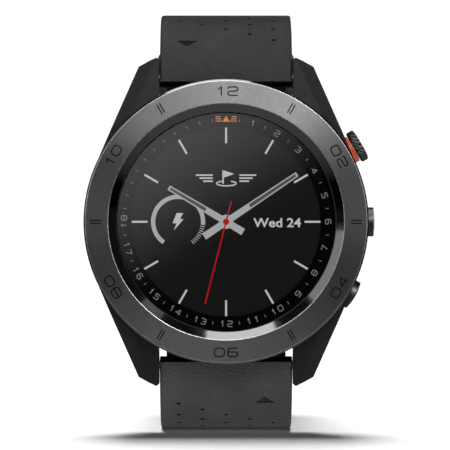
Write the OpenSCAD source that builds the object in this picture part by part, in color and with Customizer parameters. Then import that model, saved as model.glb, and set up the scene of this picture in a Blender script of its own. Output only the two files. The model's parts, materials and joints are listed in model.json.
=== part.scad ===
// Golf GPS watch with a round display, three side buttons and a buckled leather strap.
//
// Every module is drawn face up: local +Z points out of the dial, local +Y points to
// 12 o'clock, and the outer face of the rear cover lies at z = 0.  upright() then stands
// the watch up, so that the dial faces -Y and 12 o'clock is +Z.

/* [Case] */
// Radius of the case's side wall
case_r = 23.4; // [23:0.1:28.5]
// Height of the case's top rim above the rear cover's face
case_h = 8.2; // [8.2:0.1:10]
// Wall from the electronics cavity to the side
case_wall = 6.4; // [6.1:0.1:6.8]
// Thickness of the rear cover
cover_t = 1.2; // [1:0.05:1.3]
// Width of the rear cover's seat, outside the cavity
cover_lip = 2.9; // [2.9:0.05:3.1]
// Distance of a lug's tip from the middle of the dial
lug_reach = 27.5; // [27:0.1:32]
// Width of a lug across its tip
lug_tip_w = 3.4; // [3:0.1:4.6]

/* [Bezel and display] */
// Height of the bezel above the case's rim
bezel_h = 3.5; // [3.3:0.1:4.5]
// Width of the bezel's flat ring
bezel_flat = 4; // [3:0.1:4.2]
// Width of the polished slope inside the flat ring
slope_w = 1.3; // [1:0.1:1.5]
// Height of the polished slope
slope_h = 1; // [0.8:0.1:1.2]
// Width of the ledge under the lens
ledge_w = 1.3; // [1:0.05:1.4]
// Thickness of the lens
lens_t = 1.25; // [1:0.05:1.3]
// Width of the printed ring that carries the hole numbers
dial_ring_w = 2.46; // [2:0.02:2.6]
// Depth of the engraved marks
engrave = 0.12; // [0.05:0.01:0.3]
// Height of the engraved numerals
numeral_h = 1.6; // [1.2:0.1:2.2]

/* [Buttons] */
// Diameter of the knurled crown button
crown_d = 5.5; // [4.4:0.1:5.6]
// Height of the knurled part
crown_h = 1.7; // [1.2:0.1:2.4]
// Diameter of the coloured ring under the crown button
crown_ring_d = 4.6; // [4:0.1:4.7]
// Diameter of the two plain buttons
button_d = 4.9; // [4:0.1:5]
// How far each button travels
travel = 0.4; // [0.2:0.05:0.45]
// Diameter of a button's stem
stem_d = 1.9; // [1.5:0.1:2.2]
// Height of the buttons above the rear face
button_z = 4.6; // [4.4:0.1:4.8]

/* [Strap] */
// Width of the strap between the lugs
strap_w = 22.3; // [20:0.1:26.8]
// Width of the strap at the buckle
buckle_w = 20; // [18:0.5:20.5]
// Thickness of the outer leather
leather_t = 1.3; // [1:0.1:1.3]
// Thickness of the lining
lining_t = 0.9; // [0.7:0.1:1.1]
// Half the height of the closed strap loop
loop_half = 35.3; // [34.5:0.1:42]
// Bend radius where the strap leaves the case
shoulder_r = 14; // [13.8:0.1:14.2]
// Bend radius at the back of the loop
back_r = 27; // [24:0.5:30]
// Distance from the shoulder's centre back to the back bend's centre
back_drop = 16; // [12:0.5:20]
// Length of the tail beyond the buckle bar
tail_len = 36; // [30:1:40]

/* [Strap fittings] */
// Distance of the spring bars from the middle of the dial
bar_y = 24; // [23.8:0.1:24]
// Diameter of a spring bar
bar_d = 1.9; // [1.6:0.1:2]
// Diameter of the clip's barrel round a spring bar
barrel_d = 3; // [2.8:0.1:3]
// Diameter of the buckle's bar
buckle_bar_d = 1.5; // [1.2:0.1:1.7]
// Distance from the buckle's bar to its cross-bar
buckle_len = 14.2; // [12:0.2:16]
// Thickness of the buckle's frame
buckle_t = 1.8; // [1.4:0.1:2.4]
// Length of each keeper along the strap
keeper_len = 5; // [4:0.5:7]

/* [Electronics] */
// Length of the battery
battery_l = 22; // [18:0.5:22]
// Width of the battery
battery_w = 17; // [14:0.5:17]
// Thickness of the battery
battery_t = 2.6; // [2:0.1:2.7]
// Thickness of the main board
board_t = 0.8; // [0.6:0.1:0.9]
// Diameter of the vibration motor
motor_d = 8; // [6:0.5:8.2]

/* [Hidden] */
$fn = 64;
gap = 0.1;           // clearance of a seated piece
run = 0.05;          // running clearance of a shaft in its bore
film = 0.05;         // clearance between stacked layers
big = 200;           // longer than anything that it cuts

// Case
cavity_r = case_r - case_wall;
cover_r = cavity_r + cover_lip;
rim_z = 0.35;                        // lower rim of the case
seat_z = cover_t + film;             // the rear cover's seat
lug_in = strap_w / 2 + run;          // inner faces of the lugs
lug_z0 = -0.8;                       // lowest point of a lug
strap_side = strap_w / 2 - gap;      // half the strap's width at the case
pocket_y = case_r - 2.2;             // flat wall between the lugs
screw_pcr = cover_r - 1;             // circle of the rear screws
screw_r = 0.48;
screw_head_r = 0.9;
screw_head_t = 0.45;
screw_len = 2.6;
gasket_in = cavity_r + 0.2;
gasket_w = 0.7;
gasket_t = 0.5;
socket_l = 9.6;
socket_w = 4.2;
socket_y = -13.2;
socket_flange = 0.6;
socket_wall = 0.6;
socket_depth = 1;                    // of the socket, under its mouth
contact_pitch = 2;
contact_r = 0.5;

// Bezel and what it holds
bezel_r = case_r + 0.1;
flat_in = bezel_r - bezel_flat;
bore_r = flat_in - slope_w;
lens_r = bore_r - gap;
ledge_r = bore_r - ledge_w;
bezel_top = case_h + bezel_h;
lens_top = bezel_top - slope_h + film;
lens_z = lens_top - lens_t;
ring_t = 0.2;
ring_z = lens_z - ring_t - film;
ledge_z = ring_z - 0.1;
dial_in = lens_r - dial_ring_w;
display_r = ledge_r - 0.6;
touch_t = 0.15;
panel_t = 0.75;
light_t = 0.45;
touch_z = ledge_z - touch_t - film;
panel_z = touch_z - panel_t - film;
light_z = panel_z - light_t - film;
carrier_t = 0.6;
carrier_z = light_z - carrier_t - film;
board_z = carrier_z - board_t - film;
board_r = cavity_r - 0.8;
antenna_in = cavity_r + 1;
antenna_w = 1.6;
antenna_t = 0.6;
seal_in = antenna_in + antenna_w + 0.8;
seal_w = 0.6;
seal_t = 0.5;

// Buttons: angle from 3 o'clock
BUTTON_ANGLES = [30, 0, -30];
pocket_r = max(button_d, crown_ring_d) / 2 + gap;
pocket_floor = case_r - 1.5;
button_base = pocket_floor + travel + gap;
crown_z = case_r + 1.05;             // underside of the knurled part
button_edge = case_r + 1.15;         // where a plain button's dome starts
button_dome = 0.35;
spring_r = stem_d / 2 + 0.5;
spring_wire = 0.14;
spring_floor = pocket_floor - 1.7;
spring_turns = 4;
stem_bore = stem_d / 2 + run;
stem_end = cavity_r - 0.65;
clip_t = 0.25;
clip_at = cavity_r - 0.4;
oring_at = (spring_floor + cavity_r) / 2;
oring_w = 0.4;
switch_size = 1.5;

// Electronics
battery_at = [-2, -1.5];
floor_z = seat_z + 0.2;              // what the parts on the rear cover stand on
slot_at = [6, -9];                   // slot for the ribbon cable
slot_size = [6, 2];

// Strap path, in the plane of local Y and Z
bar_z = 2.6;
shoulder = [loop_half - shoulder_r, -8.2];
back = [0, shoulder.y - back_drop];
strap_t = leather_t + lining_t;
layer_gap = 0.15;
tail_r = back_r + layer_gap + strap_t;
function side_r(r) = (pow(loop_half, 2) + pow(back_drop, 2) - pow(r, 2)) / (2 * (loop_half - r));
function side_centre(r) = [loop_half - side_r(r), shoulder.y];
function side_angle(r) = atan2(back_drop, side_r(r) - loop_half);
leather_start = asin((bar_y - 0.6 - shoulder.x) / shoulder_r);
barrel_r = barrel_d / 2;
clip_r = shoulder_r - leather_t - run;
clip_floor = bar_z - barrel_r - run;
latch_t = 0.9;
bar_tip_r = 0.55;
bar_tip_len = 1.2;
latch_half = 10;
latch_in = bar_y - 2.2;
latch_len = 4.8;
lining_start = 38;
swing_r = 3.3;                       // room for the strap's end to turn about the bar

// Buckle
fold_r = 1.5;
buckle_at = -80;                     // angle of the buckle's bar about the back bend
fold_at = back_r - fold_r;
buckle_pos = back + fold_at * [cos(buckle_at), sin(buckle_at)];
lap_r = back_r + strap_t / 2;        // mean radius that arc lengths are counted on
function back_angle(s) = buckle_at - s * 180 / PI / lap_r;
function on_back(s, r) = back + r * [cos(back_angle(s)), sin(back_angle(s))];
split_s = buckle_len + 3.6;          // the lower strap hands over to the tail here
lower_end = -180 - back_angle(split_s);  // that place about the mirrored back bend
arm_in = buckle_w / 2 + 0.4;
bridge_r = buckle_t / 2 + 0.15;
bridge_at = tail_r + bridge_r + gap;
tongue_w = 1.7;
hole_w = tongue_w + 0.5;
hole_l = 3.6;
hole_s = 2.95;
hole_pitch = 7;
notch_w = tongue_w + 1;
notch_len = 5;
keeper_wall = 1;
keeper_at = 9;                       // fixed keeper's middle, back from the buckle's bar
keeper_side = buckle_w / 2 + 0.35;
free_angle = -36;                    // free keeper's middle, about the side bend
free_side = keeper_side + 0.9;        // half the free keeper's inner width
keeper_play = 0.3;

// ---- Placing ------------------------------------------------------------------------

// Stands the watch up: the dial faces -Y and 12 o'clock is +Z.
module upright() { rotate([90, 0, 0]) children(); }

// Swaps 12 o'clock and 6 o'clock.
module lower_side() { mirror([0, 1, 0]) children(); }

// Extrudes an outline drawn in the plane of Y and Z along X, w wide.
module across(w) {
    rotate([90, 0, 90]) linear_extrude(w, center = true) children();
}

// Lays +Z along the axis of the button at the given angle, seen from the dial's middle.
module on_button(angle) {
    translate([0, 0, button_z]) rotate([0, 0, angle]) rotate([0, 90, 0]) children();
}

module tube(r_out, r_in, h) {
    difference() {
        cylinder(r = r_out, h = h);
        translate([0, 0, -1]) cylinder(r = r_in, h = h + 2);
    }
}

// Outline of a ring's stretch between two angles.
module arc_band(centre, r_in, r_out, from, to) {
    steps = ceil(abs(to - from) / 60);
    reach = 2 * r_out;
    translate(centre) intersection() {
        difference() {
            circle(r = r_out);
            circle(r = r_in);
        }
        polygon(concat([[0, 0]], [for (i = [0:steps])
            let (a = from + (to - from) * i / steps) reach * [cos(a), sin(a)]]));
    }
}

// ---- Case ---------------------------------------------------------------------------

// One lug, at 1 o'clock.
module lug() {
    corner = [lug_in + lug_tip_w, lug_reach - 1.6];
    tangent_r = case_r + 0.2;
    tangent_angle = atan2(corner.y, corner.x) - acos(tangent_r / norm(corner));
    slope_from = bar_y - 6;
    crease_tip = [lug_in + 1, lug_reach - 1.3,
        case_h - 3 * (lug_reach - 1.3 - slope_from) / (lug_reach - 0.8 - slope_from)];
    facet_turn = -66.3;
    facet_rise = -17.4;
    facet_roll = -30;
    difference() {
        intersection() {
            translate([0, 0, lug_z0 - 1]) linear_extrude(case_h + 5) polygon([
                [lug_in, cavity_r], [lug_in, lug_reach - 0.4], [lug_in + 0.45, lug_reach],
                corner, tangent_r * [cos(tangent_angle), sin(tangent_angle)]]);
            across(big) polygon([
                [0, case_h], [slope_from, case_h], [lug_reach - 0.8, case_h - 3], [lug_reach + 0.2, case_h - 5.2],
                [lug_reach + 0.2, 0.6], [lug_reach - 1.6, lug_z0], [bar_y - 1.1, lug_z0 + 0.2],
                [bar_y - 3.7, rim_z], [0, rim_z]]);
        }
        translate(crease_tip) rotate([0, 0, facet_turn]) rotate([0, facet_rise, 0])
            rotate([facet_roll, 0, 0]) translate([-30, 0, 0]) cube([60, 30, 20]);
    }
}

// The room between a pair of lugs in which the strap's end turns.
module strap_pocket() {
    translate([-lug_in, pocket_y, -5]) cube([2 * lug_in, big, case_h + 5]);
    translate([0, bar_y, bar_z]) rotate([0, 90, 0])
        cylinder(r = swing_r, h = 2 * lug_in, center = true);
}

// The stepped hole that a button's cap, spring and stem sit in.
module button_hole(angle) {
    on_button(angle) {
        translate([0, 0, pocket_floor]) cylinder(r = pocket_r, h = 10);
        translate([0, 0, spring_floor]) cylinder(r = spring_r + 0.3, h = 10);
        cylinder(r = stem_bore, h = case_r);
    }
}

// The room beside the lug in which the crown button's knob travels.
module crown_room() {
    on_button(BUTTON_ANGLES[0]) translate([0, 0, crown_z - travel - gap])
        cylinder(r = crown_d / 2 + 2 * gap, h = 10);
}

module screw_places() {
    for (a = [45:90:315]) rotate([0, 0, a]) translate([screw_pcr, 0, 0]) children();
}

module mid_case() {
    color([0.09, 0.09, 0.1]) difference() {
        union() {
            difference() {
                rotate_extrude() polygon([[0, rim_z], [case_r - 2.5, rim_z], [case_r - 0.8, 1],
                    [case_r, 2.6], [case_r, case_h], [0, case_h]]);
                strap_pocket();
                lower_side() strap_pocket();
            }
            for (sx = [0, 1], sy = [0, 1]) mirror([sx, 0, 0]) mirror([0, sy, 0]) lug();
        }
        translate([0, 0, -1]) cylinder(r = cover_r + gap, h = seat_z + 1);
        cylinder(r = cavity_r, h = case_h + 1);
        translate([0, 0, seat_z - 1]) tube(gasket_in + gasket_w + film, gasket_in - film,
            1 + gasket_t);
        translate([0, 0, case_h - antenna_t - film]) tube(antenna_in + antenna_w + film,
            antenna_in - film, antenna_t + 1);
        translate([0, 0, case_h - seal_t]) tube(seal_in + seal_w + film, seal_in - film,
            seal_t + 1);
        screw_places() cylinder(r = screw_r + run, h = seat_z + screw_len);
        for (a = BUTTON_ANGLES) button_hole(a);
        crown_room();
        for (sy = [0, 1]) mirror([0, sy, 0]) translate([0, bar_y, bar_z]) rotate([0, 90, 0])
            cylinder(r = bar_tip_r + run, h = 2 * (lug_in + bar_tip_len + gap), center = true);
    }
}

module rear_cover() {
    edge = 0.25;
    color([0.13, 0.13, 0.14]) difference() {
        rotate_extrude() polygon([[0, 0], [cover_r - edge, 0], [cover_r, edge],
            [cover_r, cover_t], [0, cover_t]]);
        screw_places() {
            translate([0, 0, -1]) cylinder(r = screw_r + gap, h = cover_t + 2);
            translate([0, 0, -1]) cylinder(r = screw_head_r + gap, h = 1 + screw_head_t + film);
        }
        translate([-socket_l / 2, socket_y - socket_w / 2, -1])
            cube([socket_l, socket_w, cover_t + 2]);
    }
}

module rear_gasket() {
    color([0.2, 0.2, 0.22]) translate([0, 0, seat_z])
        tube(gasket_in + gasket_w, gasket_in, gasket_t - film);
}

// Four cap screws with six-sided sockets, heads towards the wrist.
module rear_screws() {
    color([0.55, 0.55, 0.57]) screw_places() difference() {
        union() {
            translate([0, 0, film]) cylinder(r = screw_head_r, h = screw_head_t);
            translate([0, 0, film]) cylinder(r = screw_r, h = cover_t + screw_len - gap);
        }
        cylinder(r = 0.45, h = film + 0.3, $fn = 6);
    }
}

module contact_places() {
    for (i = [-1.5:1:1.5]) translate([i * contact_pitch, socket_y, 0]) children();
}

module charge_socket() {
    module block(grow, from, to) {
        translate([-socket_l / 2 - grow, socket_y - socket_w / 2 - grow, from])
            cube([socket_l + 2 * grow, socket_w + 2 * grow, to - from]);
    }
    color([0.07, 0.07, 0.08]) difference() {
        union() {
            block(-gap, rim_z, seat_z + 1);
            block(socket_flange, seat_z, seat_z + 0.6);
        }
        block(-socket_wall, 0, rim_z + socket_depth);
        contact_places() cylinder(r = contact_r + film, h = 5);
    }
}

module charge_contacts() {
    color([0.83, 0.68, 0.35]) contact_places() translate([0, 0, rim_z + 0.7])
        cylinder(r = contact_r, h = 1.6);
}

// ---- Bezel and display --------------------------------------------------------------

function unit(v) = v / norm(v);
function turned(v) = [-v.y, v.x];

// The points that stand for corner b of a path from a to c: an arc that starts r before it.
function corner_arc(a, b, c, r, steps = 3) =
    let (cut_a = min(r, 0.45 * norm(a - b)), cut_c = min(r, 0.45 * norm(c - b)),
         start = b + unit(a - b) * cut_a, end = b + unit(c - b) * cut_c)
    [for (k = [0:steps]) let (t = k / steps)
        pow(1 - t, 2) * start + 2 * t * (1 - t) * b + t * t * end];
function eased(p, r) = r == 0 ? p : let (last = len(p) - 1)
    [p[0], for (i = [1:1:last - 1]) each corner_arc(p[i - 1], p[i], p[i + 1], r), p[last]];

// Sideways step of half a stroke's width at point b of a path from a to c.
function sideways(a, b, c, half) =
    let (before = unit(b == a ? c - b : b - a), after = unit(c == b ? b - a : c - b),
         mid = unit(before + after))
    turned(mid) * half / (mid * after);

module stroke(path, r, w) {
    p = eased(path, r);
    last = len(p) - 1;
    side = [for (i = [0:last]) sideways(p[max(i - 1, 0)], p[i], p[min(i + 1, last)], w / 2)];
    polygon(concat(p + side, [for (i = [last:-1:0]) p[i] - side[i]]));
}

// A rounded box drawn in a line of width w round the rectangle from low to high.
module box_stroke(low, high, r, w) {
    centre = (low + high) / 2;
    module rounded(grow) {
        x = (high.x - low.x) / 2 + grow;
        y = (high.y - low.y) / 2 + grow;
        c = [[x, y], [-x, y], [-x, -y], [x, -y]];
        translate(centre) polygon([for (i = [0:3])
            each corner_arc(c[(i + 3) % 4], c[i], c[(i + 1) % 4], r + grow)]);
    }
    difference() {
        rounded(w / 2);
        rounded(-w / 2);
    }
}

// One digit, h high and w wide between the middles of its strokes, centred on the origin.
module digit(n, h, w, line) {
    x = w / 2;
    y = h / 2;
    r = 0.32 * w;
    if (n == 0 || n == 8) box_stroke([-x, -y], [x, y], r, line);
    if (n == 8) stroke([[-x, 0], [x, 0]], 0, line);
    if (n == 1) stroke([[-x * 0.3, y * 0.35], [x * 0.4, y], [x * 0.4, -y]], 0, line);
    if (n == 2) stroke([[-x, y * 0.55], [-x, y], [x, y], [x, 0], [-x, 0], [-x, -y], [x, -y]],
        r, line);
    if (n == 4) {
        stroke([[x * 0.4, -y - line / 2], [x * 0.4, y]], 0, line);
        stroke([[x * 0.35, y * 0.8], [-x, -y * 0.45], [x, -y * 0.45]], 0, line);
    }
    if (n == 6) {
        stroke([[x * 0.9, y], [-x, y], [-x, -y], [x, -y], [x, y * 0.1], [0, y * 0.1]], r, line);
        stroke([[-x, y * 0.1], [line, y * 0.1]], 0, line);
    }
}

// The bezel's marks: two-figure numerals at the even hours, double bars at the odd ones.
module bezel_marks() {
    line = 0.2;
    digit_w = 1.6;
    spacing = 2.2;
    mark_r = flat_in + bezel_flat / 2;
    bar_len = 1.8;
    for (hour = [1:12]) rotate([0, 0, -30 * hour]) translate([0, mark_r]) {
        flip = hour > 3 && hour < 9 ? 180 : 0;
        if (hour % 2 == 0) rotate([0, 0, flip]) {
            translate([-spacing / 2, 0]) digit(floor(hour / 10), numeral_h - line, digit_w, line);
            translate([spacing / 2, 0]) digit(hour % 10, numeral_h - line, digit_w, line);
        } else for (sx = [-1, 1])
            translate([sx * 0.24, 0]) square([line, bar_len], center = true);
    }
}

module bezel() {
    edge = 0.3;
    color([0.32, 0.32, 0.33]) difference() {
        rotate_extrude() polygon([
            [ledge_r, case_h + film], [bezel_r - edge, case_h + film],
            [bezel_r, case_h + film + edge], [bezel_r, bezel_top - edge],
            [bezel_r - edge, bezel_top], [flat_in, bezel_top],
            [bore_r, bezel_top - slope_h], [bore_r, ledge_z], [ledge_r, ledge_z]]);
        translate([0, 0, bezel_top - engrave]) linear_extrude(1) bezel_marks();
    }
}

module bezel_gasket() {
    color([0.2, 0.2, 0.22]) translate([0, 0, case_h - seal_t + film])
        tube(seal_in + seal_w, seal_in, seal_t - film);
}

module lens() {
    edge = 0.12;
    color([0.75, 0.8, 0.85, 0.3]) rotate_extrude() polygon([
        [0, lens_z], [lens_r, lens_z], [lens_r, lens_top - edge],
        [lens_r - edge, lens_top], [0, lens_top]]);
}

module lens_adhesive() {
    color([0.12, 0.12, 0.12]) translate([0, 0, ledge_z + film / 2])
        tube(lens_r, ledge_r + gap, ring_z - ledge_z - film);
}

module dial_ring() {
    color([0.03, 0.03, 0.03]) translate([0, 0, ring_z]) tube(lens_r, dial_in, ring_t);
}

module touch_panel() {
    color([0.1, 0.12, 0.13, 0.5]) translate([0, 0, touch_z]) cylinder(r = display_r, h = touch_t);
}

module display_panel() {
    color([0.05, 0.05, 0.06]) translate([0, 0, panel_z]) cylinder(r = display_r, h = panel_t);
}

module backlight() {
    color([0.92, 0.93, 0.9]) translate([0, 0, light_z]) cylinder(r = display_r - 0.2, h = light_t);
}

module display_carrier() {
    color([0.22, 0.22, 0.24]) difference() {
        union() {
            translate([0, 0, carrier_z]) cylinder(r = board_r + 0.3, h = carrier_t);
            translate([0, 0, carrier_z]) tube(cavity_r - 0.15, display_r + gap,
                carrier_t + light_t);
        }
        translate([slot_at.x, slot_at.y, carrier_z - 1])
            cube([slot_size.x, slot_size.y, carrier_t + 2]);
    }
}

module main_board() {
    color([0.05, 0.22, 0.12]) translate([0, 0, board_z]) difference() {
        cylinder(r = board_r, h = board_t);
        translate([slot_at.x, slot_at.y, -1]) cube([slot_size.x, slot_size.y, board_t + 2]);
        for (a = [100, 220, 340]) rotate([0, 0, a]) translate([board_r - 1.4, 0, -1])
            cylinder(r = 0.6, h = board_t + 2);
    }
}

module shield_can() {
    h = 1.5;
    wall = 0.2;
    size = [15, 12];
    color([0.75, 0.75, 0.76]) translate([-11, -7, board_z - h - film / 2]) difference() {
        cube([size.x, size.y, h]);
        translate([wall, wall, wall]) cube([size.x - 2 * wall, size.y - 2 * wall, h]);
    }
}

// ---- Electronics --------------------------------------------------------------------

module battery() {
    color([0.7, 0.7, 0.68]) translate([battery_at.x - battery_l / 2,
        battery_at.y - battery_w / 2, floor_z]) cube([battery_l, battery_w, battery_t]);
}

module vibration_motor() {
    color([0.8, 0.8, 0.78]) translate([battery_at.x - 2,
        battery_at.y + battery_w / 2 + motor_d / 2 + 0.6, floor_z])
        cylinder(d = motor_d, h = 2.7);
}

module beeper() {
    color([0.1, 0.1, 0.1]) translate([battery_at.x + 8.5,
        battery_at.y + battery_w / 2 + 3.2, floor_z]) difference() {
        cylinder(r = 2.4, h = 1.8);
        translate([0, 0, -1]) cylinder(r = 0.6, h = 1.6);
    }
}

module gps_antenna() {
    color([0.72, 0.45, 0.2]) translate([0, 0, case_h - antenna_t]) difference() {
        tube(antenna_in + antenna_w, antenna_in, antenna_t);
        translate([antenna_in - 1, -0.4, -1]) cube([antenna_w + 2, 0.8, antenna_t + 2]);
    }
}

module side_switches() {
    color([0.6, 0.6, 0.62]) for (a = BUTTON_ANGLES) on_button(a) {
        at = stem_end - travel - switch_size;
        translate([-board_z + button_z + film, -1.7, at - 0.1])
            cube([board_z - button_z - film + 1, 3.4, switch_size - 0.3]);
        translate([0, 0, at]) cylinder(r = 0.7, h = switch_size - film);
    }
}

// ---- Buttons ------------------------------------------------------------------------

// The plain shaft, with grooves for its seal and its clip.
module stem(top) {
    groove_r = stem_d / 2 - 0.35;
    difference() {
        translate([0, 0, stem_end]) cylinder(d = stem_d, h = top - stem_end);
        translate([0, 0, oring_at - oring_w / 2 - film])
            tube(stem_d, groove_r, oring_w + 2 * film);
        translate([0, 0, clip_at - film]) tube(stem_d, groove_r, clip_t + 2 * film);
    }
}

// The knurled knob, without its knurling.
module crown_knob() {
    edge = 0.3;
    r = crown_d / 2;
    color([0.16, 0.16, 0.17]) on_button(BUTTON_ANGLES[0]) rotate_extrude() polygon([
        [0, crown_z], [r - edge, crown_z], [r, crown_z + edge], [r, crown_z + crown_h - edge],
        [r - edge, crown_z + crown_h], [0, crown_z + crown_h]]);
}

module crown_ring() {
    color([0.85, 0.27, 0.08]) on_button(BUTTON_ANGLES[0]) translate([0, 0, button_base])
        tube(crown_ring_d / 2, stem_d / 2 + run, crown_z - button_base);
}

module crown_stem() {
    color([0.6, 0.6, 0.62]) on_button(BUTTON_ANGLES[0]) stem(crown_z);
}

// A plain button: a domed cap and its stem, turned in one piece.
module plain_button(angle) {
    r = button_d / 2;
    dome_r = (r * r + button_dome * button_dome) / (2 * button_dome);
    color([0.35, 0.35, 0.36]) on_button(angle) {
        stem(button_base + 0.1);
        intersection() {
            translate([0, 0, button_base]) cylinder(r = r, h = button_edge + 1 - button_base);
            translate([0, 0, button_edge + button_dome - dome_r]) sphere(r = dome_r, $fn = 96);
        }
    }
}

// A return spring between the cap and the floor of its pocket.
module return_spring(angle) {
    sides = 6;
    steps = 12 * spring_turns;
    low = spring_floor + spring_wire + film;
    high = button_base - spring_wire - film;
    ring = [for (i = [0:steps], k = [0:sides - 1])
        let (turn = 360 * spring_turns * i / steps, a = 360 * k / sides,
             reach = spring_r - 0.1 + spring_wire * cos(a))
        [reach * cos(turn), reach * sin(turn),
         low + (high - low) * i / steps + spring_wire * sin(a)]];
    walls = [for (i = [0:steps - 1], k = [0:sides - 1])
        [i * sides + k, i * sides + (k + 1) % sides,
         (i + 1) * sides + (k + 1) % sides, (i + 1) * sides + k]];
    first = [for (k = [sides - 1:-1:0]) k];
    last = [for (k = [0:sides - 1]) steps * sides + k];
    color([0.75, 0.75, 0.76]) on_button(angle)
        polyhedron(ring, concat(walls, [first, last]), convexity = 10);
}

module stem_seal(angle) {
    wire = oring_w / 2 - 0.02;
    color([0.15, 0.15, 0.15]) on_button(angle) translate([0, 0, oring_at]) rotate_extrude()
        translate([stem_bore - wire - 0.01, 0]) circle(r = wire, $fn = 24);
}

module stem_clip(angle) {
    slot_w = stem_d - 0.75;
    color([0.5, 0.5, 0.52]) on_button(angle) translate([0, 0, clip_at]) difference() {
        tube(stem_d / 2 + 0.5, stem_d / 2 - 0.33, clip_t);
        translate([0, -slot_w / 2, -1]) cube([5, slot_w, 3]);
    }
}

// ---- Strap ends ---------------------------------------------------------------------

// A spring bar: the body runs between the lugs, and the tips sit in the lugs.
module spring_bar() {
    color([0.7, 0.7, 0.72]) translate([0, bar_y, bar_z]) rotate([0, 90, 0]) {
        cylinder(d = bar_d, h = 2 * (lug_in - gap), center = true);
        cylinder(r = bar_tip_r, h = 2 * (lug_in + bar_tip_len), center = true);
    }
}

// The quick-release hook at the strap's end: a barrel open towards the wrist, a wedge
// under the leather and two rails that guide the latch.
module quick_clip() {
    rail_w = strap_side - latch_half - gap;
    color([0.08, 0.08, 0.09]) difference() {
        union() {
            across(2 * strap_side) {
                translate([bar_y, bar_z]) circle(r = barrel_r);
                intersection() {
                    translate(shoulder) circle(r = clip_r);
                    translate([bar_y, clip_floor]) square([20, 20]);
                }
            }
            for (sx = [-1, 1]) translate([sx * (strap_side - rail_w / 2), 0, 0])
                across(rail_w) intersection() {
                    translate(shoulder) circle(r = clip_r);
                    translate([bar_y + 1.1, clip_floor - latch_t - gap]) square([20, 20]);
                }
        }
        across(big) translate([bar_y, bar_z]) {
            circle(r = bar_d / 2 + run);
            translate([-bar_d / 2, -20]) square([bar_d, 20]);
        }
    }
}

// The sliding plate that closes the hook.
module quick_latch() {
    grip_w = 7;
    color([0.42, 0.42, 0.38]) difference() {
        translate([-latch_half, latch_in, clip_floor - latch_t - film])
            cube([2 * latch_half, latch_len, latch_t]);
        for (i = [0:3]) translate([-grip_w / 2, latch_in + 1.6 + 0.8 * i,
            clip_floor - latch_t - film - 1]) cube([grip_w, 0.35, 1.2]);
    }
}

// ---- Strap --------------------------------------------------------------------------

// Narrows what it holds from the strap's width at the case to its width at the buckle.
module tapered() {
    wide = strap_side;
    slim = buckle_w / 2;
    narrow_z = back.y - 20;
    intersection() {
        children();
        rotate([90, 0, 0]) linear_extrude(big, center = true) polygon([
            [-wide, 20], [-wide, shoulder.y], [-slim, narrow_z], [-slim, -big],
            [slim, -big], [slim, narrow_z], [wide, shoulder.y], [wide, 20]]);
    }
}

// Points along an arc, the first of them left out when it ends the arc before.
function arc(centre, r, from, to, first = 0) = let (steps = ceil(abs(to - from) / 5))
    [for (i = [first:steps]) let (a = from + (to - from) * i / steps)
        centre + r * [cos(a), sin(a)]];
function reversed(list) = [for (i = [len(list) - 1:-1:0]) list[i]];

// The line at depth d under a strap half's outer face, whose back radius is r, from an
// angle on the shoulder down to an angle on the back bend.
function strap_line(r, d, start, end) = [
    each arc(shoulder, shoulder_r - d, start, 0),
    each arc(side_centre(r), side_r(r) - d, 0, -side_angle(r), 1),
    each arc(back, r - d, -side_angle(r), end, 1)];

// One layer of a strap half, between depths d0 and d1.
module strap_band(r, start, end, d0, d1) {
    across(2 * strap_side)
        polygon(concat(strap_line(r, d0, start, end), reversed(strap_line(r, d1, start, end))));
}

// The slot for the tongue's root, cut back from the buckle's bar.
module tongue_notch() {
    across(notch_w) translate(buckle_pos) rotate(buckle_at + 90)
        translate([-20, -10]) square([20 + notch_len, 20]);
}

module upper_strap() {
    color([0.1, 0.1, 0.1]) difference() {
        union() {
            tapered() strap_band(back_r, 90 - leather_start, buckle_at, 0, leather_t);
            across(buckle_w) translate(buckle_pos) circle(r = fold_r);
        }
        across(big) translate(buckle_pos) circle(d = buckle_bar_d + 2 * run);
        tongue_notch();
    }
}

module upper_lining() {
    color([0.16, 0.15, 0.14]) difference() {
        tapered() strap_band(back_r, lining_start, buckle_at + 5, leather_t + film, strap_t);
        across(big) translate(buckle_pos) circle(r = fold_r + run);
        tongue_notch();
    }
}

module lower_strap() {
    color([0.1, 0.1, 0.1]) difference() {
        tapered() strap_band(tail_r, 90 - leather_start, lower_end, 0, leather_t);
        lower_side() size_holes();
    }
}

module lower_lining() {
    color([0.16, 0.15, 0.14]) difference() {
        tapered() strap_band(tail_r, lining_start, lower_end, leather_t + film, strap_t);
        lower_side() size_holes();
    }
}

// The oval holes for the tongue, along the back bend.
module size_holes() {
    flat = (hole_l - hole_w) / 2;
    for (i = [-1:3]) translate([0, back.x, back.y])
        rotate([back_angle(hole_s + i * hole_pitch) + 90, 0, 0])
            translate([0, 0, -back_r - strap_t]) {
                for (sy = [-1, 1]) translate([0, sy * flat, 0])
                    cylinder(d = hole_w, h = 2 * strap_t, center = true);
                cube([hole_w, 2 * flat, 2 * strap_t], center = true);
            }
}

// The line at depth d under the tail's outer face.  The tail laps over the upper strap.
function tail_line(d) =
    let (bend = -side_angle(back_r), lap = (bend - buckle_at) * PI / 180 * lap_r,
         side = side_r(back_r) + layer_gap + strap_t,
         tip = (tail_len - lap) / side * 180 / PI)
    [each arc(back, tail_r - d, back_angle(split_s), bend),
     each arc(side_centre(back_r), side - d, bend, bend + tip, 1)];

// One layer of the tail, between depths d0 and d1.
module tail_band(d0, d1) {
    across(buckle_w) polygon(concat(tail_line(d0), reversed(tail_line(d1))));
}

module strap_tail() {
    color([0.1, 0.1, 0.1]) difference() {
        tail_band(0, leather_t);
        size_holes();
    }
}

module tail_lining() {
    color([0.16, 0.15, 0.14]) difference() {
        tail_band(leather_t + film, strap_t);
        size_holes();
    }
}

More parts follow.
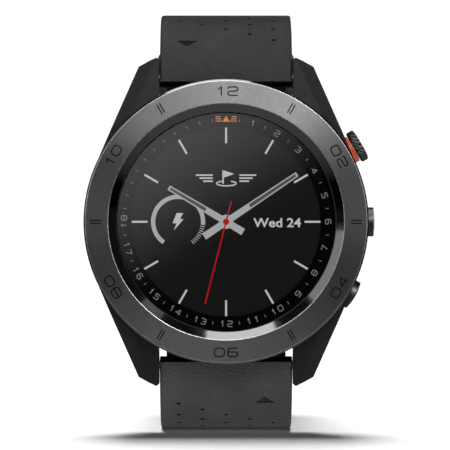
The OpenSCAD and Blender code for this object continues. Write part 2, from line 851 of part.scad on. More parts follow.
// ---- Buckle and keepers -------------------------------------------------------------

module buckle_bar() {
    color([0.6, 0.6, 0.62]) across(2 * (arm_in + buckle_t - gap)) translate(buckle_pos)
        circle(d = buckle_bar_d);
}

// The frame: two arms from the bar, and a cross-bar that lies on the strap.
module buckle_frame() {
    eye_r = buckle_bar_d / 2 + 0.85;
    bridge = on_back(buckle_len, bridge_at);
    run_dir = unit(bridge - buckle_pos);
    rise = turned(run_dir);
    color([0.3, 0.3, 0.31]) difference() {
        union() {
            for (sx = [-1, 1]) translate([sx * (arm_in + buckle_t / 2), 0, 0])
                across(buckle_t) {
                    translate(buckle_pos) circle(r = eye_r);
                    translate(bridge) circle(r = bridge_r);
                    polygon([buckle_pos + eye_r * rise, bridge + bridge_r * rise,
                        bridge - bridge_r * rise, buckle_pos - eye_r * rise]);
                }
            across(2 * arm_in + 1) translate(bridge) circle(r = bridge_r);
        }
        across(big) translate(buckle_pos) circle(d = buckle_bar_d + 2 * run);
        across(tongue_w + 0.5) polygon([on_back(buckle_len - 3, bridge_at + 0.1),
            on_back(buckle_len + 3, bridge_at + 0.1), on_back(buckle_len + 3, bridge_at + 3),
            on_back(buckle_len - 3, bridge_at + 3)]);
    }
}

// The tongue turns on the bar, rises through a hole and rests in the cross-bar's notch.
module buckle_tongue() {
    ring_r = fold_r - 0.1;
    rest_r = bridge_at + 0.15;
    top_r = rest_r + 0.95;
    color([0.55, 0.55, 0.57]) across(tongue_w) difference() {
        union() {
            translate(buckle_pos) circle(r = ring_r);
            polygon([
                on_back(0.3, fold_at - 0.9), on_back(2, back_r - 0.8),
                on_back(hole_s + 1.5, tail_r + 0.1), on_back(buckle_len - 3, rest_r),
                on_back(buckle_len + 1.2, rest_r), on_back(buckle_len + 1.2, top_r - 0.2),
                on_back(buckle_len - 3, top_r), on_back(hole_s + 0.3, tail_r + 1),
                on_back(1.2, back_r), on_back(0, fold_at + 1.2)]);
        }
        translate(buckle_pos) circle(d = buckle_bar_d + 2 * run);
    }
}

// A leather loop round both layers of strap, between two angles of a bend.
module keeper(centre, r, half, play, from, to) {
    r_in = r - strap_t - play;
    r_out = r + layer_gap + strap_t + play;
    color([0.1, 0.1, 0.1]) difference() {
        across(2 * (half + keeper_wall))
            arc_band(centre, r_in - keeper_wall, r_out + keeper_wall, from, to);
        across(2 * half) arc_band(centre, r_in, r_out, from - 5, to + 5);
    }
}

module fixed_keeper() {
    half_angle = keeper_len / 2 / lap_r * 180 / PI;
    mid = back_angle(-keeper_at);
    keeper(back, back_r, keeper_side, run, mid - half_angle, mid + half_angle);
}

module free_keeper() {
    r = side_r(back_r);
    half_angle = keeper_len / 2 / r * 180 / PI;
    keeper(side_centre(back_r), r, free_side, keeper_play,
        free_angle - half_angle, free_angle + half_angle);
}

// ---- Nodes --------------------------------------------------------------------------

upright() mid_case();
upright() rear_cover();
upright() rear_gasket();
upright() rear_screws();
upright() charge_socket();
upright() charge_contacts();
upright() bezel();
upright() bezel_gasket();
upright() lens();
upright() lens_adhesive();
upright() dial_ring();
upright() touch_panel();
upright() display_panel();
upright() backlight();
upright() display_carrier();
upright() main_board();
upright() shield_can();
upright() battery();
upright() vibration_motor();
upright() beeper();
upright() gps_antenna();
upright() side_switches();
upright() crown_knob();
upright() crown_ring();
upright() crown_stem();
upright() return_spring(BUTTON_ANGLES[0]);  // crown_spring
upright() stem_seal(BUTTON_ANGLES[0]);  // crown_seal
upright() stem_clip(BUTTON_ANGLES[0]);  // crown_clip
upright() plain_button(BUTTON_ANGLES[1]);  // middle_button
upright() return_spring(BUTTON_ANGLES[1]);  // middle_spring
upright() stem_seal(BUTTON_ANGLES[1]);  // middle_seal
upright() stem_clip(BUTTON_ANGLES[1]);  // middle_clip
upright() plain_button(BUTTON_ANGLES[2]);  // lower_button
upright() return_spring(BUTTON_ANGLES[2]);  // lower_spring
upright() stem_seal(BUTTON_ANGLES[2]);  // lower_seal
upright() stem_clip(BUTTON_ANGLES[2]);  // lower_clip
upright() spring_bar();  // upper_bar
upright() lower_side() spring_bar();  // lower_bar
upright() quick_clip();  // upper_quick_clip
upright() lower_side() quick_clip();  // lower_quick_clip
upright() quick_latch();  // upper_latch
upright() lower_side() quick_latch();  // lower_latch
upright() upper_strap();
upright() upper_lining();
upright() lower_side() lower_strap();
upright() lower_side() lower_lining();
upright() strap_tail();
upright() tail_lining();
upright() buckle_frame();
upright() buckle_bar();
upright() buckle_tongue();
upright() fixed_keeper();
upright() free_keeper();
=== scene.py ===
"""Looks of a golf GPS watch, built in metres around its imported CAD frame.

Shapes are worked out in dial coordinates, in millimetres: x to 3 o'clock, y to 12 o'clock
and z out of the dial, from the outer face of the rear cover.  to_row() turns them into the
row frame, where the dial faces -Y and 12 o'clock is +Z.
"""

import json
import math

import bmesh
import bpy
from mathutils import Matrix, Vector

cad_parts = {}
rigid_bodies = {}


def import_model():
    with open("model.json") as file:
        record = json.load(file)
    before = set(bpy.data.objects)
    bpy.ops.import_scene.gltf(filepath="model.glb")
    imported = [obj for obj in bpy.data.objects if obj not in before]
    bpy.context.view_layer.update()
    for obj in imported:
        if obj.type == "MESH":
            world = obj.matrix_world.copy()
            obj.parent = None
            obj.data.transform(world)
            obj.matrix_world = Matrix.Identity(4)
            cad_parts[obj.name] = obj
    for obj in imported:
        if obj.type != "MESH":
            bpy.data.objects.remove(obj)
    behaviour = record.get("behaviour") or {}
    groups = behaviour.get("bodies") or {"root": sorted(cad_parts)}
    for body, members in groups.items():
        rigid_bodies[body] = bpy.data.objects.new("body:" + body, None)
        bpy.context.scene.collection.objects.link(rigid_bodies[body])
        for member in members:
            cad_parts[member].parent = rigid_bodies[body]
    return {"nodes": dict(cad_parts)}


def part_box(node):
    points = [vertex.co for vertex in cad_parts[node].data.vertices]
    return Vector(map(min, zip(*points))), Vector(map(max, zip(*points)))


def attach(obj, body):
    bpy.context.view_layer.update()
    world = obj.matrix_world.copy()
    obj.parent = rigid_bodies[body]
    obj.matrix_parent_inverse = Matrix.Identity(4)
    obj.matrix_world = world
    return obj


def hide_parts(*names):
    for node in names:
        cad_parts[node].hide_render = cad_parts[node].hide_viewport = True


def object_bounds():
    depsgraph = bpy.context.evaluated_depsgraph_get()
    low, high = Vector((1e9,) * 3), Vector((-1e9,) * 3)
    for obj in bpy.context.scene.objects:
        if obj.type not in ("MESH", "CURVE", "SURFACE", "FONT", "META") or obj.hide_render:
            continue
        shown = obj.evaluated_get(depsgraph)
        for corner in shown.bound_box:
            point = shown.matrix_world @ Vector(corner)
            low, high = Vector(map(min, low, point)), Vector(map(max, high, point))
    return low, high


MM = 0.001

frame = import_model()
cad_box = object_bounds()


def to_row(x, y, z):
    """A point in dial millimetres as a point in the row frame."""
    return Vector((x, -z, y)) * MM


def radius_of(node):
    """Half the width of a CAD node, in mm."""
    low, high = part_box(node)
    return (high.x - low.x) / 2 / MM


def front_of(node):
    """How far a CAD node's front face stands out of the dial, in mm."""
    return -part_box(node)[0].y / MM


# ---- Sizes that the CAD design and the looks share, in mm ---------------------------------

BEZEL_R = radius_of("bezel")
BEZEL_TOP = front_of("bezel")
BEZEL_FLAT = 4.0  # width of the bezel's brushed ring
BEZEL_EDGE = 0.3  # width of its outer chamfer
BEZEL_TILT = 0.12  # slope with which the brushed ring catches light, outwards
RING_OUT = radius_of("dial_ring")
RING_IN = RING_OUT - 2.46
RING_TOP = front_of("dial_ring")
SCREEN_TOP = front_of("touch_panel")

LOOP_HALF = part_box("upper_strap")[1].z / MM  # half the height of the closed loop
STRAP_HALF = radius_of("upper_strap")
BUCKLE_HALF = radius_of("strap_tail")
BAR_Y = 24  # spring bars
LEATHER = 1.3
LINING = 0.9
STRAP = LEATHER + LINING
LAYER_GAP = 0.15
LINING_INSET = 0.12  # how far the lining stops short of the leather's edges
TIP_LEN = 9.5  # length over which the strap's free end rounds off
STAMP_DEPTH = 0.2
PERFORATION_ROWS = 9
PERFORATION_PITCH = 2.9
PERFORATION_COLUMN = 3.97
PERFORATION_FIRST = 7.93
PERFORATION_W = 0.74
PERFORATION_L = 0.54
SHOULDER_R = 14
SHOULDER_Z = -8.2
BACK_R = 27
BACK_DROP = 16
BACK_Z = SHOULDER_Z - BACK_DROP
TAIL_R = BACK_R + LAYER_GAP + STRAP
LAP_R = BACK_R + STRAP / 2  # radius that arc lengths on the back are counted on
BUCKLE_AT = -80  # degrees, place of the buckle's bar about the back bend
TAIL_LEN = 36
FOLD_R = 1.5  # outer radius of the leather round the buckle's bar
HOLE_L = 3.6
HOLE_W = 2.2
HOLE_S = 2.95
HOLE_PITCH = 7
KEEPER_LEN = 5
KEEPER_WALL = 1


def add_mesh(name, verts, faces):
    """A mesh object in the scene, from vertices and faces."""
    mesh = bpy.data.meshes.new(name)
    mesh.from_pydata([tuple(v) for v in verts], [], faces)
    made = bpy.data.objects.new(name, mesh)
    bpy.context.scene.collection.objects.link(made)
    return made


# ---- Camera, lights and floor ---------------------------------------------------------------


def make_camera():
    """Looks straight at the dial, a little below and to the left of its middle."""
    distance = 500 * MM
    view_width = 74.07 * MM  # seen across at the bezel's front face
    data = bpy.data.cameras.new("camera")
    data.sensor_width = 36
    data.lens = data.sensor_width * distance / view_width
    data.clip_start = 0.05
    data.clip_end = 20
    camera = bpy.data.objects.new("camera", data)
    camera.location = to_row(-0.18, -0.53, BEZEL_TOP) - Vector((0, distance, 0))
    camera.rotation_euler = (math.radians(90), 0, 0)
    bpy.context.scene.collection.objects.link(camera)
    bpy.context.scene.camera = camera


def softbox(name, centre, target, size, radiance):
    """A rectangular area light of even radiance that faces the target, in metres."""
    data = bpy.data.lights.new(name, "AREA")
    data.shape = "RECTANGLE"
    data.size, data.size_y = size
    data.energy = radiance * math.pi * size[0] * size[1]
    light = bpy.data.objects.new(name, data)
    light.location = centre
    aim = Vector(target) - Vector(centre)
    light.rotation_euler = aim.to_track_quat("-Z", "Y").to_euler()
    bpy.context.scene.collection.objects.link(light)
    return light


def make_lights(floor):
    """Soft lights on the watch, and one from above and behind that whitens the floor.

    The floor neither takes nor stops the watch's own lights, so that its shadow stays deep.
    Returns the collection of what the light from below reaches.
    """
    floor_only = bpy.data.collections.new("floor_only")
    floor_only.objects.link(floor)
    all_but_floor = bpy.data.collections.new("all_but_floor")
    all_but_floor.objects.link(floor)
    all_but_floor.collection_objects[0].light_linking.link_state = "EXCLUDE"
    straps_only = bpy.data.collections.new("straps_only")
    for name, centre, size, radiance in (
            ("key", (-0.09, -0.04, 0.62), (0.40, 0.60), 2.8),
            ("front_top", (0.16, -0.95, 0.58), (1.65, 0.40), 3.1),
            ("front_upper_right", (0.44, -0.95, 0.72), (0.30, 0.30), 8.0),
            ("left_box", (-0.62, -0.16, 0.26), (0.30, 0.45), 0.9),
            ("right_box", (0.52, -0.22, 0.60), (0.16, 0.16), 0.4),
            ("front_left", (-0.75, -0.70, 0.0), (0.35, 0.5), 1.4),
            ("front_right", (0.75, -0.70, 0.0), (0.35, 0.5), 1.8),
            ("rim_left", (-0.60, 0.12, 0.25), (0.10, 0.50), 2.5),
            ("rim_right", (0.60, 0.12, -0.15), (0.10, 0.50), 1.5),
            ("back_fill", (0.30, 0.95, 0.12), (0.70, 0.50), 3.5),
            ("under", (0.0, -0.20, -0.55), (0.50, 0.40), 5.0)):
        aim = (centre[0], centre[1], 0) if name == "key" else (0, 0, 0)
        light = softbox(name, centre, aim, size, radiance)
        reached = straps_only if name == "under" else all_but_floor
        light.light_linking.receiver_collection = reached
        light.light_linking.blocker_collection = all_but_floor
    wash = softbox("floor_wash", (-0.1, 0.82, 2.4), (0, 0, 0), (1.0, 1.5), 23.0)
    wash.light_linking.receiver_collection = floor_only
    return straps_only


def make_world():
    """White behind the object, and a faint even fill for everything else."""
    world = bpy.data.worlds.new("studio")
    world.use_nodes = True
    tree = world.node_tree
    background = tree.nodes["Background"]
    white = add(world, "Background")
    for shader, strength in ((background, 0.02), (white, 1.1)):
        shader.inputs["Color"].default_value = (1, 1, 1, 1)
        shader.inputs["Strength"].default_value = strength
    mix = add(world, "MixShader")
    link(world, add(world, "LightPath").outputs["Is Camera Ray"], mix.inputs[0])
    link(world, background.outputs[0], mix.inputs[1])
    link(world, white.outputs[0], mix.inputs[2])
    link(world, mix.outputs[0], tree.nodes["World Output"].inputs["Surface"])
    bpy.context.scene.world = world


def make_floor():
    """A round pale floor under the lowest point of the strap."""
    lowest = cad_box[0].z
    rim = [(0.5 * math.cos(math.tau * i / 96), 0.5 * math.sin(math.tau * i / 96), lowest)
           for i in range(96)]
    floor = add_mesh("floor", rim, [range(96)])
    floor.data.materials.append(principled("floor_white", (0.86, 0.86, 0.86), 0.6))
    floor.visible_glossy = False
    make_floor_glow(lowest)
    return floor


def make_floor_glow(lowest):
    """What the metal mirrors of the floor: a soft grey pool that fades outwards."""
    level = lowest + 0.0005
    corners = [(0.3 * x, 0.3 * y, level) for x, y in ((-1, -1), (1, -1), (1, 1), (-1, 1))]
    glow = add_mesh("floor_glow", corners, [(0, 1, 2, 3)])
    made = principled("floor_glow", (0, 0, 0), 1)
    away = add(made, "VectorMath", operation="LENGTH")
    link(made, object_place(made), away.inputs[0])
    emit(made, spread(made, away.outputs["Value"], 0.24, 0.0, 0.04, 0.11))
    glow.data.materials.append(made)
    glow.visible_camera = False
    glow.visible_diffuse = False
    glow.visible_shadow = False


def make_reflection_card():
    """A tall card above and behind the camera, cut off on a slant, for the glass to mirror."""
    corners = [(-0.085, 0, -0.15), (0.16, 0, -0.15), (0.16, 0, 0.95), (-0.085, 0, 0.95)]
    card = add_mesh("card", corners, [(0, 1, 2, 3)])
    card.location = (0, -1.2, 0)
    made = principled("card_light", (0, 0, 0), 1)
    slant = add(made, "VectorMath", operation="DOT_PRODUCT")
    slant.inputs[1].default_value = (-0.54, 0, 0.84)
    link(made, object_place(made), slant.inputs[0])
    emit(made, spread(made, slant.outputs["Value"], 0, 0.95, -0.0115, 0.062,
                      interpolation_type="SMOOTHSTEP"))
    card.data.materials.append(made)
    card.visible_camera = False


# ---- Material helpers -----------------------------------------------------------------------


def principled(name, base, roughness, **sockets):
    """A material with these even values on its shader's own sockets."""
    made = bpy.data.materials.new(name)
    made.use_nodes = True
    shader = made.node_tree.nodes["Principled BSDF"]
    shader.inputs["Base Color"].default_value = (*base, 1)
    shader.inputs["Roughness"].default_value = roughness
    for socket, value in sockets.items():
        shader.inputs[socket.replace("_", " ")].default_value = value
    return made


def add(material, kind, **settings):
    made = material.node_tree.nodes.new("ShaderNode" + kind)
    for name, value in settings.items():
        setattr(made, name, value)
    return made


def link(material, source, target):
    material.node_tree.links.new(source, target)


def shader_of(material):
    return material.node_tree.nodes["Principled BSDF"]


def object_place(material):
    """The point on the object, in metres in the row frame at rest."""
    return add(material, "TexCoord").outputs["Object"]


def noise(material, scale, detail=3, roughness=0.5, place=None):
    made = add(material, "TexNoise")
    made.inputs["Scale"].default_value = scale
    made.inputs["Detail"].default_value = detail
    made.inputs["Roughness"].default_value = roughness
    link(material, place or object_place(material), made.inputs["Vector"])
    return made.outputs["Fac"]


def spread(material, value, low, high, start=0.3, end=0.7, **settings):
    """Maps a value from start..end onto low..high."""
    made = add(material, "MapRange", **settings)
    for name, number in zip(("From Min", "From Max", "To Min", "To Max"), (start, end, low, high)):
        made.inputs[name].default_value = number
    link(material, value, made.inputs["Value"])
    return made.outputs[0]


def vary_colour(material, value, dark, light, start=0.3, end=0.7, socket="Base Color"):
    """Paints a colour of the shader from dark to light by a value."""
    made = add(material, "Mix", data_type="RGBA")
    made.inputs["A"].default_value = (*dark, 1)
    made.inputs["B"].default_value = (*light, 1)
    link(material, spread(material, value, 0, 1, start, end), made.inputs["Factor"])
    link(material, made.outputs["Result"], shader_of(material).inputs[socket])


def vary_roughness(material, value, low, high):
    link(material, spread(material, value, low, high), shader_of(material).inputs["Roughness"])


def raise_surface(material, height, distance):
    """Adds a bump of this height, in metres, on top of any bump that is there."""
    bump = add(material, "Bump")
    bump.inputs["Strength"].default_value = 1
    bump.inputs["Distance"].default_value = distance
    link(material, height, bump.inputs["Height"])
    normal = shader_of(material).inputs["Normal"]
    if normal.is_linked:
        link(material, normal.links[0].from_socket, bump.inputs["Normal"])
    link(material, bump.outputs["Normal"], normal)


def emit(material, strength):
    """Turns the material into an even light of a linked strength."""
    lit = add(material, "Emission")
    link(material, strength, lit.inputs["Strength"])
    surface = material.node_tree.nodes["Material Output"].inputs["Surface"]
    link(material, lit.outputs[0], surface)


def grained(name, base, roughness, colour=None, fine=(5200,), gloss=None, bump=None, **sockets):
    """A material with a fine grain.

    colour is (noise scale, dark, light), fine is the grain's noise scale, detail and
    roughness, gloss is the range of surface roughness, and bump is a height in metres.
    """
    made = principled(name, base, roughness, **sockets)
    if colour:
        scale, dark, light = colour
        vary_colour(made, noise(made, scale), dark, light)
    grain = noise(made, *fine)
    if gloss:
        vary_roughness(made, grain, *gloss)
    if bump:
        raise_surface(made, grain, bump)
    return made


def radius_in(material):
    """Distance from the dial's axis, in metres."""
    flat = add(material, "VectorMath", operation="MULTIPLY")
    flat.inputs[1].default_value = (1, 0, 1)
    link(material, object_place(material), flat.inputs[0])
    radius = add(material, "VectorMath", operation="LENGTH")
    link(material, flat.outputs[0], radius.inputs[0])
    return radius.outputs["Value"]


def polar_place(material, along, across):
    """Coordinates about the dial's axis: turns times along, and radius times across."""
    split = add(material, "SeparateXYZ")
    link(material, object_place(material), split.inputs[0])
    angle = add(material, "Math", operation="ARCTAN2")
    link(material, split.outputs["X"], angle.inputs[0])
    link(material, split.outputs["Z"], angle.inputs[1])
    both = add(material, "CombineXYZ")
    for source, factor, target in ((angle.outputs[0], along, "X"),
                                   (radius_in(material), across, "Y")):
        scaled = add(material, "Math", operation="MULTIPLY")
        scaled.inputs[1].default_value = factor
        link(material, source, scaled.inputs[0])
        link(material, scaled.outputs[0], both.inputs[target])
    return both.outputs[0]


# ---- Materials ------------------------------------------------------------------------------


def cover_polymer():
    """Satin black plastic of the rear cover, with turning marks about its middle."""
    made = principled("cover_polymer", (0.018, 0.018, 0.019), 0.4)
    turned = noise(made, 1, detail=2, place=polar_place(made, 1.5, 9000))
    fine = noise(made, 7000, detail=3)
    vary_colour(made, noise(made, 200), (0.014, 0.014, 0.015), (0.022, 0.022, 0.023))
    vary_roughness(made, fine, 0.34, 0.46)
    raise_surface(made, turned, 0.000004)
    raise_surface(made, fine, 0.000006)
    return made


def brushed_bezel():
    """Dark steel, brushed in circles about the dial."""
    made = principled("brushed_bezel", (0.22, 0.22, 0.225), 0.32, Metallic=1, Anisotropic=0.78)
    tangent = add(made, "Tangent", direction_type="RADIAL", axis="Y")
    link(made, tangent.outputs[0], shader_of(made).inputs["Tangent"])
    shader_of(made).inputs["Anisotropic Rotation"].default_value = 0.25
    streaks = noise(made, 1, detail=4, roughness=0.65, place=polar_place(made, 22, 11000))
    long_streaks = noise(made, 1, detail=2, place=polar_place(made, 6, 4200))
    vary_colour(made, streaks, (0.18, 0.18, 0.184), (0.27, 0.27, 0.275))
    vary_roughness(made, long_streaks, 0.30, 0.36)
    slope = add(made, "Math", operation="MULTIPLY")
    slope.inputs[1].default_value = -BEZEL_TILT
    link(made, radius_in(made), slope.inputs[0])
    raise_surface(made, slope.outputs[0], 1)
    raise_surface(made, streaks, 0.0000004)
    return made


def lens_glass():
    """Clear, flat glass: it mirrors by Fresnel and lets the rest through."""
    made = bpy.data.materials.new("lens_glass")
    made.use_nodes = True
    tree = made.node_tree
    tree.nodes.remove(tree.nodes["Principled BSDF"])
    clear = add(made, "BsdfTransparent")
    clear.inputs["Color"].default_value = (0.97, 0.975, 0.98, 1)
    mirror = add(made, "BsdfGlossy")
    mirror.inputs["Roughness"].default_value = 0.02
    share = add(made, "Fresnel")
    share.inputs["IOR"].default_value = 1.5
    mix = add(made, "MixShader")
    link(made, share.outputs[0], mix.inputs[0])
    link(made, clear.outputs[0], mix.inputs[1])
    link(made, mirror.outputs[0], mix.inputs[2])
    link(made, mix.outputs[0], tree.nodes["Material Output"].inputs["Surface"])
    return made


def screen_black():
    """The display at rest: near black, with its very fine pixel rows and a faint painted glow all
    over.
    """
    made = principled("screen_black", (0.006, 0.006, 0.006), 0.5, Specular_IOR_Level=0.1,
                      Emission_Color=(1, 1, 1, 1), Emission_Strength=0.003)
    rows = add(made, "TexWave", wave_type="BANDS", bands_direction="Z", wave_profile="SIN")
    rows.inputs["Scale"].default_value = 1200
    link(made, object_place(made), rows.inputs["Vector"])
    vary_colour(made, rows.outputs["Fac"], (0.0055, 0.0055, 0.0058), (0.0075, 0.0075, 0.0075),
                0, 1)
    return made


def screen_image(name, colour):
    """An area of print or display image that glows with a painted, nearly even brightness instead
    of taking the lamps' light.
    """
    # black base: the colour comes from emission alone, a painted glow
    made = principled(name, (0, 0, 0), 0.6, Specular_IOR_Level=0, Emission_Strength=1)
    dark, light = ([share * c for c in colour] for share in (0.96, 1.04))
    vary_colour(made, noise(made, 6000, detail=1), dark, light, socket="Emission Color")
    return made


def leather():
    """Black leather: fine pebbled grain, faint creases and uneven dye."""
    dark, light = (0.022, 0.022, 0.0225), (0.034, 0.0335, 0.033)
    made = principled("leather", dark, 0.6, Specular_IOR_Level=0.2)
    cells = add(made, "TexVoronoi", feature="SMOOTH_F1")
    cells.inputs["Scale"].default_value = 2300
    cells.inputs["Smoothness"].default_value = 0.35
    warp = add(made, "VectorMath", operation="MULTIPLY_ADD")
    warp.inputs[1].default_value = (0.0006, 0.0006, 0.0006)
    link(made, noise(made, 900, detail=2), warp.inputs[0])
    link(made, object_place(made), warp.inputs[2])
    link(made, warp.outputs[0], cells.inputs["Vector"])
    pores = noise(made, 5200, detail=3, roughness=0.6)
    creases = noise(made, 420, detail=4, roughness=0.6)
    dye = noise(made, 130, detail=4, roughness=0.6)
    vary_colour(made, dye, dark, light)
    vary_roughness(made, creases, 0.52, 0.66)
    raise_surface(made, cells.outputs["Distance"], 0.00010)
    raise_surface(made, pores, 0.00002)
    raise_surface(made, creases, 0.00006)
    return made


def lining():
    """Soft nubuck on the wrist side."""
    made = principled("nubuck", (0.035, 0.033, 0.031), 0.92, Sheen_Weight=0.35,
                      Sheen_Roughness=0.45)
    fibre = noise(made, 7000, detail=5, roughness=0.75)
    cloud = noise(made, 190, detail=4, roughness=0.6)
    vary_colour(made, cloud, (0.028, 0.026, 0.025), (0.046, 0.044, 0.042))
    raise_surface(made, fibre, 0.00003)
    return made


def satin_metal(name, dark, light, low=0.24, high=0.36, along="Z"):
    """Metal with fine straight lines from brushing."""
    made = principled(name, dark, low, Metallic=1)
    stretch = add(made, "Mapping")
    scale = {"X": (300, 9000, 9000), "Z": (9000, 9000, 300)}[along]
    stretch.inputs["Scale"].default_value = scale
    link(made, object_place(made), stretch.inputs["Vector"])
    lines = noise(made, 1, detail=3, roughness=0.6, place=stretch.outputs[0])
    vary_colour(made, lines, dark, light)
    vary_roughness(made, lines, low, high)
    raise_surface(made, lines, 0.0000025)
    return made


def plain_metal(name, dark, light, low=0.18, high=0.32):
    """Metal with an even, unbrushed finish."""
    return grained(name, dark, low, (1400, dark, light), gloss=(low, high), Metallic=1)


def moulded(name, dark, light, low=0.45, high=0.6, bump=0.00001, **sockets):
    """Moulded plastic or rubber with a fine grain."""
    return grained(name, dark, low, (260, dark, light), (6500, 4, 0.65), (low, high), bump,
                   **sockets)


def circuit_board():
    """Green solder mask over copper traces."""
    made = principled("circuit_board", (0.004, 0.05, 0.02), 0.3, Coat_Weight=0.5)
    traces = add(made, "TexBrick", offset=0.35, squash=0.6, squash_frequency=3)
    traces.inputs["Scale"].default_value = 520
    traces.inputs["Mortar Size"].default_value = 0.06
    flat = add(made, "Mapping")
    flat.inputs["Rotation"].default_value = (math.radians(90), 0, 0)
    link(made, object_place(made), flat.inputs["Vector"])
    link(made, flat.outputs[0], traces.inputs["Vector"])
    vary_colour(made, traces.outputs["Fac"], (0.004, 0.045, 0.018), (0.02, 0.13, 0.05), 0, 1)
    raise_surface(made, traces.outputs["Fac"], 0.00001)
    return made


def dress_frame():
    """Gives every CAD node its material."""
    bright = plain_metal("bright_steel", (0.55, 0.55, 0.56), (0.66, 0.66, 0.67))
    rubber = moulded("seal_rubber", (0.012, 0.012, 0.012), (0.02, 0.02, 0.02), 0.5, 0.7)
    inner = moulded("inner_plastic", (0.03, 0.03, 0.032), (0.045, 0.045, 0.048))
    clip = moulded("clip_polymer", (0.006, 0.006, 0.006), (0.010, 0.010, 0.010), 0.4, 0.55)
    latch = moulded("latch_metal", (0.060, 0.061, 0.052), (0.085, 0.086, 0.074), 0.35, 0.5,
                    0.000004, Metallic=0.4)
    button = satin_metal("button_metal", (0.10, 0.10, 0.103), (0.14, 0.14, 0.144), 0.34, 0.44)
    buckle = satin_metal("buckle_metal", (0.10, 0.10, 0.105), (0.15, 0.15, 0.155), 0.26, 0.36,
                         "X")
    case = grained("case_polymer", (0.012, 0.012, 0.013), 0.5,
                   (160, (0.010, 0.010, 0.011), (0.016, 0.016, 0.017)), (9000, 4, 0.7),
                   (0.44, 0.60), 0.000012, Specular_IOR_Level=0.2)
    ring = grained("ring_black", (0.0015, 0.0015, 0.0015), 0.6, fine=(5000,), gloss=(0.5, 0.7),
                   Specular_IOR_Level=0.05)
    knurled = grained("knurled_metal", (0.18, 0.18, 0.185), 0.36,
                      (1500, (0.15, 0.15, 0.153), (0.22, 0.22, 0.224)), (6000,), (0.32, 0.44),
                      Metallic=1)
    orange = grained("orange_ring", (0.60, 0.075, 0.012), 0.34,
                     (1800, (0.52, 0.060, 0.010), (0.66, 0.090, 0.016)), (5000,), (0.28, 0.42),
                     Coat_Weight=0.3, Coat_Roughness=0.2)
    finishes = (
        (case, "mid_case"),
        (cover_polymer(), "rear_cover"),
        (rubber, "rear_gasket bezel_gasket lens_adhesive crown_seal middle_seal lower_seal"),
        (plain_metal("screw_steel", (0.08, 0.08, 0.082), (0.13, 0.13, 0.135)), "rear_screws"),
        (inner, "charge_socket display_carrier beeper"),
        (plain_metal("gold", (0.80, 0.55, 0.18), (0.88, 0.64, 0.26)), "charge_contacts"),
        (lens_glass(), "lens"),
        (ring, "dial_ring"),
        (screen_black(), "touch_panel display_panel"),
        (moulded("diffuser", (0.80, 0.81, 0.78), (0.86, 0.87, 0.85), 0.3, 0.4), "backlight"),
        (circuit_board(), "main_board"),
        (plain_metal("tin", (0.58, 0.58, 0.58), (0.70, 0.70, 0.70), 0.3, 0.42), "shield_can"),
        (plain_metal("cell_foil", (0.48, 0.49, 0.50), (0.60, 0.61, 0.62), 0.3, 0.45), "battery"),
        (plain_metal("copper", (0.60, 0.30, 0.14), (0.72, 0.38, 0.20)), "gps_antenna"),
        (bright, "vibration_motor side_switches crown_stem crown_spring crown_clip middle_spring"
                 " middle_clip lower_spring lower_clip upper_bar lower_bar buckle_bar"),
        (knurled, "crown_knob"),
        (orange, "crown_ring"),
        (button, "middle_button lower_button"),
        (clip, "upper_quick_clip lower_quick_clip"),
        (latch, "upper_latch lower_latch"),
        (buckle, "buckle_frame buckle_tongue"),
    )
    for made, names in finishes:
        for name in names.split():
            mesh = frame["nodes"][name].data
            mesh.materials.clear()
            mesh.materials.append(made)
    dress_bezel()


def dress_bezel():
    """Brushed ring, polished slope and chamfers, and black paint in the engraving."""
    polished = grained("polished_steel", (0.19, 0.19, 0.195), 0.10, fine=(700,),
                       gloss=(0.07, 0.13), Metallic=1)
    paint = grained("engraving_paint", (0.003, 0.003, 0.003), 0.6, fine=(12000,),
                    gloss=(0.45, 0.65), bump=0.000006, Specular_IOR_Level=0.1)
    mesh = frame["nodes"]["bezel"].data
    mesh.materials.clear()
    for made in (brushed_bezel(), polished, paint):
        mesh.materials.append(made)
    flat_in = BEZEL_R - BEZEL_FLAT
    flat_out = BEZEL_R - BEZEL_EDGE
    for face in mesh.polygons:
        depth = BEZEL_TOP + face.center.y / MM
        radius = math.hypot(face.center.x, face.center.z) / MM
        in_flat = flat_in - 0.02 < radius < flat_out + 0.02
        if in_flat and depth < 0.005:
            face.material_index = 0
        elif in_flat and depth < 0.3:
            face.material_index = 2
        else:
            face.material_index = 1


# ---- Mesh helpers ---------------------------------------------------------------------------


def new_piece(name, verts, faces, material, body, smooth_angle=None):
    """A mesh from vertices in the row frame, riding on a CAD body."""
    piece = add_mesh(name, verts, faces)
    mesh = piece.data
    mesh.validate()
    mesh.materials.append(material)
    face_outwards(mesh)
    if smooth_angle:
        smooth(mesh, smooth_angle)
    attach(piece, body)
    return piece


def prism_faces(start, n):
    """Faces of a prism whose n upper points, from start, come before its n lower ones."""
    return [[start + i for i in range(n)], [start + n + i for i in reversed(range(n))],
            *([start + i, start + n + i, start + n + (i + 1) % n, start + (i + 1) % n]
              for i in range(n))]


def grid_faces(rows, n, closed=False):
    """Faces between rows that are loops of n points; closed joins the last to the first."""
    faces = []
    for i in range(rows if closed else rows - 1):
        j = (i + 1) % rows
        for k in range(n):
            m = (k + 1) % n
            faces.append([i * n + k, i * n + m, j * n + m, j * n + k])
    return faces


def evaluated_mesh(thing):
    """A new mesh of the object as its modifiers or its font leave it."""
    bpy.context.view_layer.update()
    graph = bpy.context.evaluated_depsgraph_get()
    return bpy.data.meshes.new_from_object(thing.evaluated_get(graph))


def face_outwards(mesh):
    shape = bmesh.new()
    shape.from_mesh(mesh)
    bmesh.ops.remove_doubles(shape, verts=shape.verts, dist=1e-7)
    bmesh.ops.recalc_face_normals(shape, faces=shape.faces)
    shape.to_mesh(mesh)
    shape.free()


def smooth(mesh, angle):
    """Smooth shading, with edges sharper than the angle kept."""
    for face in mesh.polygons:
        face.use_smooth = True
    mesh.set_sharp_from_angle(angle=math.radians(angle))


# ---- Printed and displayed shapes -----------------------------------------------------------


